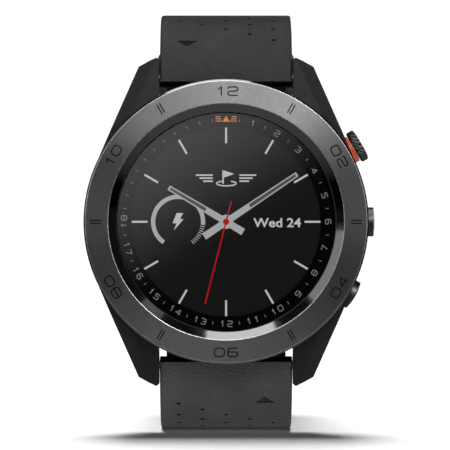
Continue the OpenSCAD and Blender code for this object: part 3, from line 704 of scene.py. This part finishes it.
class Print:
    """Thin plates of one colour that share a mesh, each between two heights z in mm."""

    def __init__(self, low, high):
        self.low, self.high = low, high
        self.verts, self.faces = [], []

    def _both(self, outline):
        """Adds an outline at both heights and returns the index of its first point."""
        start = len(self.verts)
        for z in (self.high, self.low):
            self.verts += [to_row(x, y, z) for x, y in outline]
        return start

    def shape(self, outline, place=None):
        """A plate with this closed outline."""
        if place:
            outline = [tuple(place @ Vector((x, y, 0)))[:2] for x, y in outline]
        self.faces += prism_faces(self._both(outline), len(outline))

    def strip(self, left, right, closed=False):
        """A plate between two lines with as many points each."""
        n = len(left)
        start = self._both(left + right)
        steps = n if closed else n - 1
        top, low = start, start + 2 * n
        for i in range(steps):
            j = (i + 1) % n
            self.faces.append([top + i, top + j, top + n + j, top + n + i])
            self.faces.append([low + i, low + n + i, low + n + j, low + j])
            self.faces.append([top + i, low + i, low + j, top + j])
            self.faces.append([top + n + i, top + n + j, low + n + j, low + n + i])
        if not closed:
            for i in (0, n - 1):
                self.faces.append([top + i, top + n + i, low + n + i, low + i])

    def line(self, path, width, corner=0.0, closed=False, place=None):
        """A stroke of this width along a path whose corners are rounded."""
        points = rounded(path, corner, closed) if corner else [Vector(p) for p in path]
        left, right = offset_line(points, width / 2, closed)
        if place:
            left = [place @ p for p in left]
            right = [place @ p for p in right]
        self.strip([tuple(p)[:2] for p in left], [tuple(p)[:2] for p in right], closed)

    def arc(self, centre, r_in, r_out, start, end, step=3):
        """A band between two radii and two angles, clockwise from 12 o'clock."""
        steps = max(2, math.ceil(abs(end - start) / step))
        angles = [start + (end - start) * i / steps for i in range(steps + 1)]
        self.strip([around(centre, r_in, a) for a in angles],
                   [around(centre, r_out, a) for a in angles])

    def piece(self, name, material, slot):
        return new_piece(name, self.verts, self.faces, material, "case")


def on_circle(centre, radius, degrees):
    """The point at an angle that is counted from the first axis towards the second."""
    a = math.radians(degrees)
    return (centre[0] + radius * math.cos(a), centre[1] + radius * math.sin(a))


def around(centre, radius, clockwise):
    """The point at an angle clockwise from 12 o'clock."""
    return on_circle(centre, radius, 90 - clockwise)


def turned_place(centre, clockwise):
    """Moves a shape to centre and turns it, so that its own up points outwards."""
    return Matrix.Translation((*centre, 0)) @ Matrix.Rotation(-math.radians(clockwise), 4, "Z")


def rounded(path, radius, closed=False, steps=3):
    """The path with an arc in place of each corner."""
    points = [Vector((*p, 0)) for p in path]
    n = len(points)
    made = [] if closed else [points[0]]
    for i in range(0 if closed else 1, n if closed else n - 1):
        before, corner, after = points[i - 1], points[i], points[(i + 1) % n]
        cuts = [min(radius, 0.45 * (p - corner).length) for p in (before, after)]
        start = corner + (before - corner).normalized() * cuts[0]
        end = corner + (after - corner).normalized() * cuts[1]
        for k in range(steps + 1):
            t = k / steps
            made.append((1 - t) ** 2 * start + 2 * t * (1 - t) * corner + t * t * end)
    return made if closed else made + [points[-1]]


def offset_line(points, half, closed=False):
    """The lines half to the left and right of a path."""
    points = [Vector((p[0], p[1], 0)) for p in points]
    n = len(points)
    left, right = [], []
    for i, point in enumerate(points):
        before = points[i - 1] if closed or i > 0 else None
        after = points[(i + 1) % n] if closed or i < n - 1 else None
        into = (point - before).normalized() if before else (after - point).normalized()
        out = (after - point).normalized() if after else into
        mean = (into + out).normalized()
        side = Vector((-mean.y, mean.x, 0)) * half / max(0.35, mean.dot(out))
        left.append(point + side)
        right.append(point - side)
    return left, right


# Strokes of the digits in a box from -1 to 1 both ways: (points, closed)
BOX = [(-1, -1), (-1, 1), (1, 1), (1, -1)]
DIGITS = {
    "0": [(BOX, True)],
    "1": [([(-0.35, 0.45), (0.25, 1), (0.25, -1)], False)],
    "2": [([(-1, 1), (1, 1), (1, 0), (-1, 0), (-1, -1), (1, -1)], False)],
    "3": [([(-1, 1), (1, 1), (1, -1), (-1, -1)], False), ([(-0.3, 0), (0.9, 0)], False)],
    "4": [([(0.45, -1), (0.45, 1)], False), ([(0.4, 1), (-1, -0.4), (1, -0.4)], False)],
    "5": [([(1, 1), (-1, 1), (-1, 0.1), (1, 0.1), (1, -1), (-1, -1)], False)],
    "6": [([(0.9, 1), (-1, 1), (-1, -1), (1, -1), (1, 0.1), (-0.9, 0.1)], False)],
    "7": [([(-1, 1), (1, 1), (-0.1, -1)], False)],
    "8": [(BOX, True), ([(-0.9, 0), (0.9, 0)], False)],
    "9": [([(-0.9, -1), (1, -1), (1, 1), (-1, 1), (-1, -0.1), (0.9, -0.1)], False)],
}


def draw_number(target, text, height, width, line, place):
    """Draws digits side by side, centred on the origin of place."""
    advance = width * 1.42
    for i, figure in enumerate(text):
        at = (i - (len(text) - 1) / 2) * advance
        for points, closed in DIGITS[figure]:
            path = [(at + x * (width - line) / 2, y * (height - line) / 2) for x, y in points]
            corner = 0 if figure in "147" else 0.3 * width
            target.line(path, line, corner, closed, place)


def make_bezel_rims():
    """The fine polished edges along both rims of the brushed ring."""
    polish = plain_metal("bezel_rim", (0.55, 0.55, 0.555), (0.66, 0.66, 0.665), 0.22, 0.32)
    steps = 360
    for name, radius, out, fall in (("bezel_inner_rim", BEZEL_R - BEZEL_FLAT, -1, 0.77),
                                    ("bezel_outer_rim", BEZEL_R - BEZEL_EDGE, 1, 1.0)):
        profile = ((radius - out * 0.07, BEZEL_TOP + 0.002), (radius, BEZEL_TOP + 0.008),
                   (radius + out * 0.07, BEZEL_TOP - 0.07 * fall + 0.006))
        verts = [(r * math.cos(math.tau * i / steps) * MM, -z * MM,
                  r * math.sin(math.tau * i / steps) * MM)
                 for i in range(steps) for r, z in profile]
        faces = [(3 * i + k, 3 * i + k + 1, (3 * i + k + 4) % (3 * steps),
                  (3 * i + k + 3) % (3 * steps)) for i in range(steps) for k in range(2)]
        new_piece(name, verts, faces, polish, "case", 80)


def make_ring_print():
    """Hole numbers 1 to 18, the ticks between them and an orange mark at 12 o'clock."""
    plate = (RING_TOP, RING_TOP + 0.02)
    # the ring's printed numbers, ticks and mark glow with a painted, even brightness rather than
    # taking the lamps' light
    grey = screen_image("print_grey_glow", (0.19, 0.19, 0.19))
    dim = screen_image("print_dim_glow", (0.16, 0.16, 0.16))
    orange = screen_image("print_orange_glow", (0.62, 0.19, 0.06))
    middle = (RING_IN + RING_OUT) / 2
    numbers, ticks, mark = Print(*plate), Print(*plate), Print(*plate)
    for hole in range(1, 19):
        angle = 15 * hole
        inwards = 90 < angle < 270 and hole > 6
        place = turned_place(around((0, 0), middle, angle), angle + (180 if inwards else 0))
        draw_number(numbers, str(hole), 1.04, 0.92, 0.14, place)
    angles = [7.5 + 15 * i for i in range(18)] + [277.5 + 7.5 * i for i in range(11)]
    for angle in angles:
        half = math.degrees(0.055 / middle)
        ticks.arc((0, 0), middle - 0.26, middle + 0.26, angle - half, angle + half)
    place = turned_place((0, middle + 0.15), 0)
    mark.shape([(-0.62, -0.48), (0.62, -0.48), (0, 0.52)], place)
    for side in (-1, 1):
        for near, level in ((0.95, 0.36), (0.8, 0), (0.65, -0.36)):
            bar = [Vector((side * near, level, 0)), Vector((side * 1.75, level, 0))]
            mark.line(bar, 0.15, place=place)
    numbers.piece("ring_numbers", grey, "ring_print")
    ticks.piece("ring_ticks", dim, "ring_print")
    mark.piece("ring_mark", orange, "ring_print")


def make_display_image():
    """The hour marks, battery gauge, pictogram, date and hands that the display shows."""
    # the display's image glows with a painted, even brightness in place of the room light that the
    # display reflects
    light = screen_image("image_light_glow", (0.40, 0.40, 0.40))
    pale = screen_image("image_pale_glow", (0.52, 0.52, 0.52))
    dark = screen_image("image_dark_glow", (0.075, 0.075, 0.075))
    red = screen_image("image_red_glow", (0.42, 0.010, 0.012))
    layer = 0.015

    def level(i):
        return (SCREEN_TOP + layer * i, SCREEN_TOP + layer * (i + 1))

    marks = Print(*level(0))
    for hour in range(12):
        marks.line([around((0, 0), 12.99, 30 * hour), around((0, 0), 15.6, 30 * hour)], 0.33)
    marks.piece("hour_marks", pale, "display")

    gauge = Print(*level(0))
    centre, r_in, r_out = (-7.94, 0), 3.78, 4.49
    gauge.arc(centre, r_in, r_out, 215, 360 + 97)
    for i in range(9):
        angle = 101 + 5.4 * i
        gauge.line([around(centre, r_in, angle), around(centre, r_out, angle)], 0.14)
    gauge.piece("battery_gauge", light, "display")

    bolt = Print(*level(0))
    bolt.shape([(centre[0] + x, centre[1] + y) for x, y in (
        (-0.25, 1.45), (0.85, 1.45), (0.30, 0.45), (0.92, 0.45), (-0.70, -1.42),
        (-0.25, -0.25), (-0.92, -0.25))])
    bolt.piece("charging_bolt", pale, "display")

    make_pictogram(level(0), pale)
    make_date(level(0), pale)

    for i, (name, angle, tip, tail, slot_start) in enumerate((
            ("hour", 300.8, 11.06, 3.3, 3.9), ("minute", 56.15, 14.16, 4.4, 4.7))):
        place = turned_place((0, 0), angle)
        hand = Print(*level(1 + 2 * i))
        hand.shape([(-0.59, -tail), (0.59, -tail), (0.55, 1.0), (0.41, tip), (-0.41, tip),
                    (-0.55, 1.0)], place)
        hand.piece(name + "_hand", light, "display")
        slot = Print(*level(2 + 2 * i))
        slot.shape([(-0.29, slot_start), (0.29, slot_start), (0.22, tip - 0.3),
                    (-0.22, tip - 0.3)], place)
        slot.piece(name + "_hand_slot", dark, "display")
    hub = Print(*level(4))
    hub.shape([around((0, 0), 1.18, a) for a in range(0, 360, 10)])
    hub.piece("hand_hub", light, "display")
    second = Print(*level(5))
    second.line([around((0, 0), 3.5, 194.4 + 180), around((0, 0), 14.05, 194.4)], 0.24)
    second.shape([around((0, 0), 0.52, a) for a in range(0, 360, 15)])
    second.piece("second_hand", red, "display")


def make_pictogram(level, material):
    """A flag on a green, with three bars at each side."""
    flag = Print(*level)
    y = 7.3
    flag.line([(-0.5, y - 1.0), (-0.5, y + 1.2)], 0.26)
    flag.shape([(-0.34, y + 1.2), (1.35, y + 0.62), (-0.34, y + 0.02)])
    green = [(0.05 + 1.6 * math.cos(math.radians(a)), y - 0.95 + 0.4 * math.sin(math.radians(a)))
             for a in range(112, 429, 10)]
    flag.line(green, 0.22)
    for side in (-1, 1):
        for far, level_y in ((5.0, 0.42), (4.4, -0.08), (3.8, -0.58)):
            flag.line([(side * 2.2, y + level_y), (side * far, y + level_y)], 0.26)
    flag.piece("flag_pictogram", material, "display")


def make_date(level, material):
    """The weekday and the date in a plain bold face."""
    data = bpy.data.curves.new("date", "FONT")
    data.body = "Wed 24"
    data.size = 2.13
    data.offset = 0.045
    data.align_x = "CENTER"
    data.align_y = "CENTER"
    data.resolution_u = 3
    data.extrude = (level[1] - level[0]) / 2
    text = bpy.data.objects.new("date_text", data)
    bpy.context.scene.collection.objects.link(text)
    mesh = evaluated_mesh(text)
    bpy.data.objects.remove(text)
    xs = [v.co.x for v in mesh.vertices]
    ys = [v.co.y for v in mesh.vertices]
    width, height = 7.9, 1.55
    scale_x = width / (max(xs) - min(xs))
    scale_y = height / (max(ys) - min(ys))
    middle = ((max(xs) + min(xs)) / 2, (max(ys) + min(ys)) / 2)
    verts = [to_row(8.44 + (v.co.x - middle[0]) * scale_x, -0.14 + (v.co.y - middle[1]) * scale_y,
                    v.co.z + (level[0] + level[1]) / 2) for v in mesh.vertices]
    faces = [list(f.vertices) for f in mesh.polygons]
    bpy.data.meshes.remove(mesh)
    new_piece("date", verts, faces, material, "case")


# ---- Strap ----------------------------------------------------------------------------------


class StrapPath:
    """The outer line of a strap half: arcs in the plane of y and z, in mm and degrees.

    Each arc is (centre, radius, start, end, side); side is 1 where the outer face looks
    away from the arc's centre, and -1 where it looks towards it.
    """

    def __init__(self, arcs):
        self.arcs = arcs
        self.ends = []
        total = 0
        for _, radius, start, end, _ in arcs:
            total += radius * math.radians(abs(end - start))
            self.ends.append(total)
        self.length = total

    def point(self, u, depth):
        """The point u along the outer line and depth under it, as (y, z)."""
        begin = 0
        for (centre, radius, start, end, side), stop in zip(self.arcs, self.ends):
            if u <= stop or stop == self.length:
                share = (u - begin) / (stop - begin)
                return on_circle(centre, radius - side * depth, start + (end - start) * share)
            begin = stop

    def at(self, index, angle):
        """How far along the line an angle of one of its arcs lies."""
        _, radius, start, *_ = self.arcs[index]
        begin = self.ends[index - 1] if index else 0
        return begin + radius * math.radians(abs(angle - start))


def side_arc(r):
    """Centre, radius and end angle of the side bend that runs into a back bend of radius r."""
    radius = (LOOP_HALF**2 + BACK_DROP**2 - r**2) / (2 * (LOOP_HALF - r))
    return ((LOOP_HALF - radius, SHOULDER_Z), radius,
            -math.degrees(math.atan2(BACK_DROP, radius - LOOP_HALF)))


SHOULDER = (LOOP_HALF - SHOULDER_R, SHOULDER_Z)
SHOULDER_START = 90 - math.degrees(math.asin((BAR_Y - 0.6 - SHOULDER[0]) / SHOULDER_R))
BUCKLE = on_circle((0, BACK_Z), BACK_R - FOLD_R, BUCKLE_AT)


def upper_path():
    centre, radius, end = side_arc(BACK_R)
    return StrapPath([
        (SHOULDER, SHOULDER_R, SHOULDER_START, 0, 1),
        (centre, radius, 0, end, 1),
        ((0, BACK_Z), BACK_R, end, BUCKLE_AT, 1),
        (BUCKLE, FOLD_R, BUCKLE_AT, BUCKLE_AT - 180, 1),
        ((0, BACK_Z), BACK_R - 2 * FOLD_R, BUCKLE_AT, BUCKLE_AT + 14, -1),
    ])


def lower_path():
    """Mirrored: here y points to 6 o'clock.  The tail's arc bends round the upper strap."""
    centre, radius, end = side_arc(TAIL_R)
    lap_centre, lap_radius, lap_end = side_arc(BACK_R)
    tail_radius = lap_radius + LAYER_GAP + STRAP
    on_back = math.radians(lap_end - BUCKLE_AT) * LAP_R
    tip = math.degrees((TAIL_LEN - on_back) / tail_radius)
    return StrapPath([
        (SHOULDER, SHOULDER_R, SHOULDER_START, 0, 1),
        (centre, radius, 0, end, 1),
        ((0, BACK_Z), TAIL_R, end, -180 - lap_end, 1),
        ((-lap_centre[0], SHOULDER_Z), tail_radius, -180 - lap_end, -180 - lap_end - tip, 1),
    ])


def half_width(path, u):
    """Half the strap's width: it tapers from the case to the back of the loop."""
    z = path.point(u, 0)[1]
    share = min(1, max(0, (SHOULDER_Z - z) / 36))
    return STRAP_HALF + (BUCKLE_HALF - STRAP_HALF) * share


def section(half, top, bottom, r_top, r_bottom, columns):
    """A closed outline (x, depth) of a band's cross-section with rounded corners."""

    def across(start, end, depth):
        return [(start + (end - start) * k / columns, depth) for k in range(1, columns)]

    upper = [on_circle((half - r_top, top + r_top), r_top, -a) for a in (90, 67.5, 45, 22.5, 0)]
    lower = [on_circle((half - r_bottom, bottom - r_bottom), r_bottom, a)
             for a in (0, 30, 60, 90)]
    return ([(-x, d) for x, d in reversed(upper)] + across(-half + r_top, half - r_top, top)
            + upper + lower + across(half - r_bottom, -half + r_bottom, bottom)
            + [(-x, d) for x, d in reversed(lower)])


def flat_band(name, stations, columns=14):
    """A closed band laid flat: x across, y along and -z into it, in mm.

    Each station is (u, half width, top depth, bottom depth, top radius, bottom radius).
    """
    verts = []
    for u, half, top, bottom, r_top, r_bottom in stations:
        verts += [(x, u, -d) for x, d in section(half, top, bottom, r_top, r_bottom, columns)]
    n = len(verts) // len(stations)
    faces = grid_faces(len(stations), n)
    faces += [list(range(n)), [len(verts) - 1 - k for k in range(n)]]
    band = add_mesh(name, verts, faces)
    face_outwards(band.data)
    return band


def capsule(x, u, width, length, steps=8):
    """Outline of a hole with round ends, its length along the strap."""
    r, flat = width / 2, (length - width) / 2
    points = []
    for sign, begin in ((1, 0), (-1, 180)):
        for k in range(steps + 1):
            points.append(on_circle((x, u + sign * flat), r, begin + 180 * k / steps))
    return points


def cut(band, outlines):
    """Cuts prisms out of a flat band: each is (outline, low, high)."""
    verts, faces = [], []
    for outline, low, high in outlines:
        faces += prism_faces(len(verts), len(outline))
        verts += [(x, y, z) for z in (high, low) for x, y in outline]
    cutter = add_mesh("cutter", verts, faces)
    face_outwards(cutter.data)
    boolean = band.modifiers.new("holes", "BOOLEAN")
    boolean.operation = "DIFFERENCE"
    boolean.solver = "EXACT"
    boolean.object = cutter
    made = evaluated_mesh(band)
    band.modifiers.clear()
    old, band.data = band.data, made
    bpy.data.meshes.remove(old)
    bpy.data.objects.remove(cutter)


def bend(band, path, mirrored=False):
    """Lays a flat band on its path and stands it in the row frame.

    The floor of the stamp, which lies level at its depth, gets the third material.
    """
    for face in band.data.polygons:
        centre = face.center
        if abs(centre.z + STAMP_DEPTH) < 0.01 and 4 < abs(centre.x) < 9:
            face.material_index = 2
    side = -1 if mirrored else 1
    for vertex in band.data.vertices:
        x, u, height = vertex.co
        y, z = path.point(u, -height)
        vertex.co = to_row(x * side, y * side, z)


def finish_band(band, materials, body, replaced, edge_index=None):
    """Shading, materials and body of a bent strap piece."""
    face_outwards(band.data)
    for made in materials:
        band.data.materials.append(made)
    smooth(band.data, 40)
    if edge_index is not None:
        for face in band.data.polygons:
            if abs(face.normal.x) > 0.75:
                face.material_index = edge_index
    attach(band, body)
    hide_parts(*replaced)


def lerp(a, b, t):
    return a + (b - a) * min(1, max(0, t))


def stations_of(path, start, end, top, bottom, step=0.7, tip=0.0, edge=0.5):
    """Stations along a path; tip is the length over which the end rounds off."""
    count = math.ceil((end - tip - start) / step)
    places = [start + (end - tip - start) * i / count for i in range(count + 1)]
    if tip:
        places += [end - tip + tip * math.sin(math.radians(9 * i)) for i in range(1, 10)]
    made = []
    for u in places:
        half = half_width(path, u)
        past = (u - (end - tip)) / tip if tip and u > end - tip else 0
        half *= max(0.03, (1 - past**2.4) ** (1 / 2.4))
        near_end = min(1, (u - start) / 0.4 + 0.35, (end - u) / 0.4 + 0.35)
        under = bottom(u) if callable(bottom) else bottom
        radius = min(edge, (under - top) * 0.42, half * 0.4) * near_end
        made.append((u, half, top, under, radius, radius * 0.5))
    return made


def perforations():
    """Oval holes in staggered rows that start on a slant."""
    found = []
    for column in range(5):
        x = (2 - column) * PERFORATION_COLUMN
        first = PERFORATION_FIRST + column * PERFORATION_PITCH / 2
        for row in range(PERFORATION_ROWS - (column + 1) // 2):
            u = first + row * PERFORATION_PITCH
            outline = [(x + PERFORATION_W / 2 * math.cos(math.tau * i / 12),
                        u + PERFORATION_L / 2 * math.sin(math.tau * i / 12)) for i in range(12)]
            found.append((outline, -1.0, 1))
    return found


def stamp():
    """The small pressed triangle near the case, pointing at the dial."""
    return ([(-8.25, 7.75), (-4.8, 7.75), (-6.52, 6.35)], -STAMP_DEPTH, 1)


def make_upper_strap(materials):
    """The leather that folds round the buckle's bar, thinned where it folds."""
    path = upper_path()
    fold, flap, flap_end = path.ends[2:5]

    def thickness(u):
        thin = lerp(LEATHER, 0.68, (u - (fold - 7)) / 6)
        return lerp(thin, 0.25, (u - flap) / (flap_end - flap))

    band = flat_band("upper_strap_leather", stations_of(path, 0, flap_end, 0, thickness))
    notch = capsule(0, (fold - 5 + flap + 4.5) / 2, 2.7, flap + 4.5 - fold + 5)
    cut(band, perforations() + [stamp(), (notch, -3, 3)])
    bend(band, path)
    finish_band(band, materials, "upper_strap", ("upper_strap",), 1)


def make_linings(material):
    """The soft inner layers of both strap halves."""
    for name, path, body, mirrored, replaced in (
            ("upper_strap_lining", upper_path(), "upper_strap", False, ("upper_lining",)),
            ("lower_strap_lining", lower_path(), "lower_strap", True,
             ("lower_lining", "tail_lining"))):
        start = path.at(0, 38)
        end = path.ends[2] - 3.2 if not mirrored else path.length - 0.35
        stations = stations_of(path, start, end, LEATHER + 0.03, STRAP, 0.8,
                               TIP_LEN if mirrored else 0, edge=0.3)
        stations = [(u, half - LINING_INSET, *rest) for u, half, *rest in stations]
        band = flat_band(name, stations, 10)
        if mirrored:
            cut(band, size_holes(path))
        else:
            cut(band, [(capsule(0, end, 2.7, 4.4), -4, 3)])
        bend(band, path, mirrored)
        finish_band(band, (material,), body, replaced)


def size_holes(path):
    """The oval holes for the tongue, on the lower strap's path."""
    found = []
    for i in range(-1, 4):
        s = HOLE_S + i * HOLE_PITCH
        angle = -180 - (BUCKLE_AT - math.degrees(s / LAP_R))
        found.append((capsule(0, path.at(2, angle), HOLE_W, HOLE_L), -4, 3))
    return found


def make_lower_strap(materials):
    """The leather from the lower spring bar to the free end, in one piece."""
    path = lower_path()
    band = flat_band("lower_strap_leather",
                     stations_of(path, 0, path.length, 0, LEATHER, tip=TIP_LEN))
    cut(band, perforations() + [stamp()] + size_holes(path))
    bend(band, path, mirrored=True)
    finish_band(band, materials, "lower_strap",
                ("lower_strap", "strap_tail"), 1)


def make_keepers(hide):
    """Leather loops round both layers of the strap."""
    half_angle = math.degrees(KEEPER_LEN / 2 / LAP_R)
    mid = BUCKLE_AT + math.degrees(9 / LAP_R)
    make_keeper("fixed_keeper_leather", (0, BACK_Z), BACK_R, BUCKLE_HALF + 0.35, 0.05,
                mid - half_angle, mid + half_angle, hide, "upper_strap", "fixed_keeper")
    centre, radius, _ = side_arc(BACK_R)
    half_angle = math.degrees(KEEPER_LEN / 2 / radius)
    mid = -36
    make_keeper("free_keeper_leather", centre, radius, BUCKLE_HALF + 1.25, 0.3,
                mid - half_angle, mid + half_angle, hide, "keeper", "free_keeper")


def make_keeper(name, centre, radius, half, play, start, end, material, body, node):
    """A rounded loop swept between two angles of a bend, with soft edges."""
    inner = (half, radius - STRAP - play, radius + LAYER_GAP + STRAP + play)
    corner = 0.6
    loop = []
    for cx, cr, begin in ((1, 2, 0), (-1, 2, 90), (-1, 1, 180), (1, 1, 270)):
        sign = 1 if cr == 2 else -1
        for k in range(7):
            a = math.radians(begin + 15 * k)
            loop.append((cx * (inner[0] - corner), inner[cr] - sign * corner,
                         math.cos(a), math.sin(a)))
    edge = 0.34
    profile = []
    width = math.radians(end - start)
    for across, out, begin in ((1, 1, 0), (-1, 1, 90), (-1, 0, 180), (1, 0, 270)):
        for k in range(4):
            a = math.radians(begin + 30 * k)
            along = across * (0.5 - edge / KEEPER_LEN) + edge / KEEPER_LEN * math.cos(a)
            lift = (KEEPER_WALL - edge if out else edge) + edge * math.sin(a)
            profile.append((along, lift))
    verts = []
    for x, r, nx, nr in loop:
        for along, lift in profile:
            a = math.radians((start + end) / 2) + along * width
            reach = r + nr * (corner + lift)
            verts.append(to_row(x + nx * (corner + lift), centre[0] + reach * math.cos(a),
                                centre[1] + reach * math.sin(a)))
    faces = grid_faces(len(loop), len(profile), closed=True)
    made = new_piece(name, verts, faces, material, body, 45)
    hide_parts(node)


# ---- Crown ----------------------------------------------------------------------------------


def make_crown(material):
    """The knurled knob: slanted ridges between two chamfers, and a dished end."""
    low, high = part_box("crown_knob")
    centre = (low + high) / 2
    radius = (high.y - low.y) / 2 / MM
    tilt = math.radians(30)
    height = ((high.x - low.x) / MM - 2 * radius * math.sin(tilt)) / math.cos(tilt)
    ridges, per_ridge, twist, depth = 22, 6, math.radians(38), 0.26
    count = ridges * per_ridge
    chamfer = 0.22
    rings = [(0, radius - chamfer)]
    rings += [(chamfer + (height - 2 * chamfer) * i / 8, radius) for i in range(9)]
    rings += [(height, radius - chamfer), (height, radius - 0.55), (height - 0.12, radius - 0.75)]
    verts = []
    for i, (t, r) in enumerate(rings):
        for k in range(count):
            a = 2 * math.pi * k / count
            ridge = abs(math.cos(ridges * (a - twist * t / height) / 2))
            groove = depth * (1 - ridge**1.2) if i < 11 else 0
            reach = r - groove * (0.45 if i in (0, 10) else 1)
            verts.append(Vector((reach * math.cos(a), reach * math.sin(a), t - height / 2)))
    faces = grid_faces(len(rings), count)
    faces += [list(reversed(range(count))), [len(verts) - count + k for k in range(count)]]
    axis = Vector((math.cos(tilt), 0, math.sin(tilt)))
    turn = axis.to_track_quat("Z", "Y").to_matrix()
    placed = [centre + turn @ v * MM for v in verts]
    knob = new_piece("crown_knurled", placed, faces, material, "crown_button", 50)
    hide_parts("crown_knob")


# ---- Build ----------------------------------------------------------------------------------

bpy.context.scene.view_settings.view_transform = "Standard"
make_camera()
straps_only = make_lights(make_floor())
make_world()
make_reflection_card()
dress_frame()
make_ring_print()
make_display_image()
black_leather = leather()
edge_paint = grained("leather_edge", (0.010, 0.010, 0.010), 0.38, fine=(1800,),
                     gloss=(0.32, 0.48), bump=0.00002)
pressed = grained("leather_stamp", (0.010, 0.010, 0.010), 0.7, fine=(2500,), bump=0.00003,
                  Specular_IOR_Level=0.1)
strap_materials = (black_leather, edge_paint, pressed)
make_upper_strap(strap_materials)
make_lower_strap(strap_materials)
make_linings(lining())
make_keepers(black_leather)
make_crown(frame["nodes"]["crown_knob"].data.materials[0])
make_bezel_rims()

# the light from below reaches the strap's pieces alone
for thing in bpy.context.scene.objects:
    if thing.type == "MESH" and "strap" in thing.name:
        straps_only.objects.link(thing)
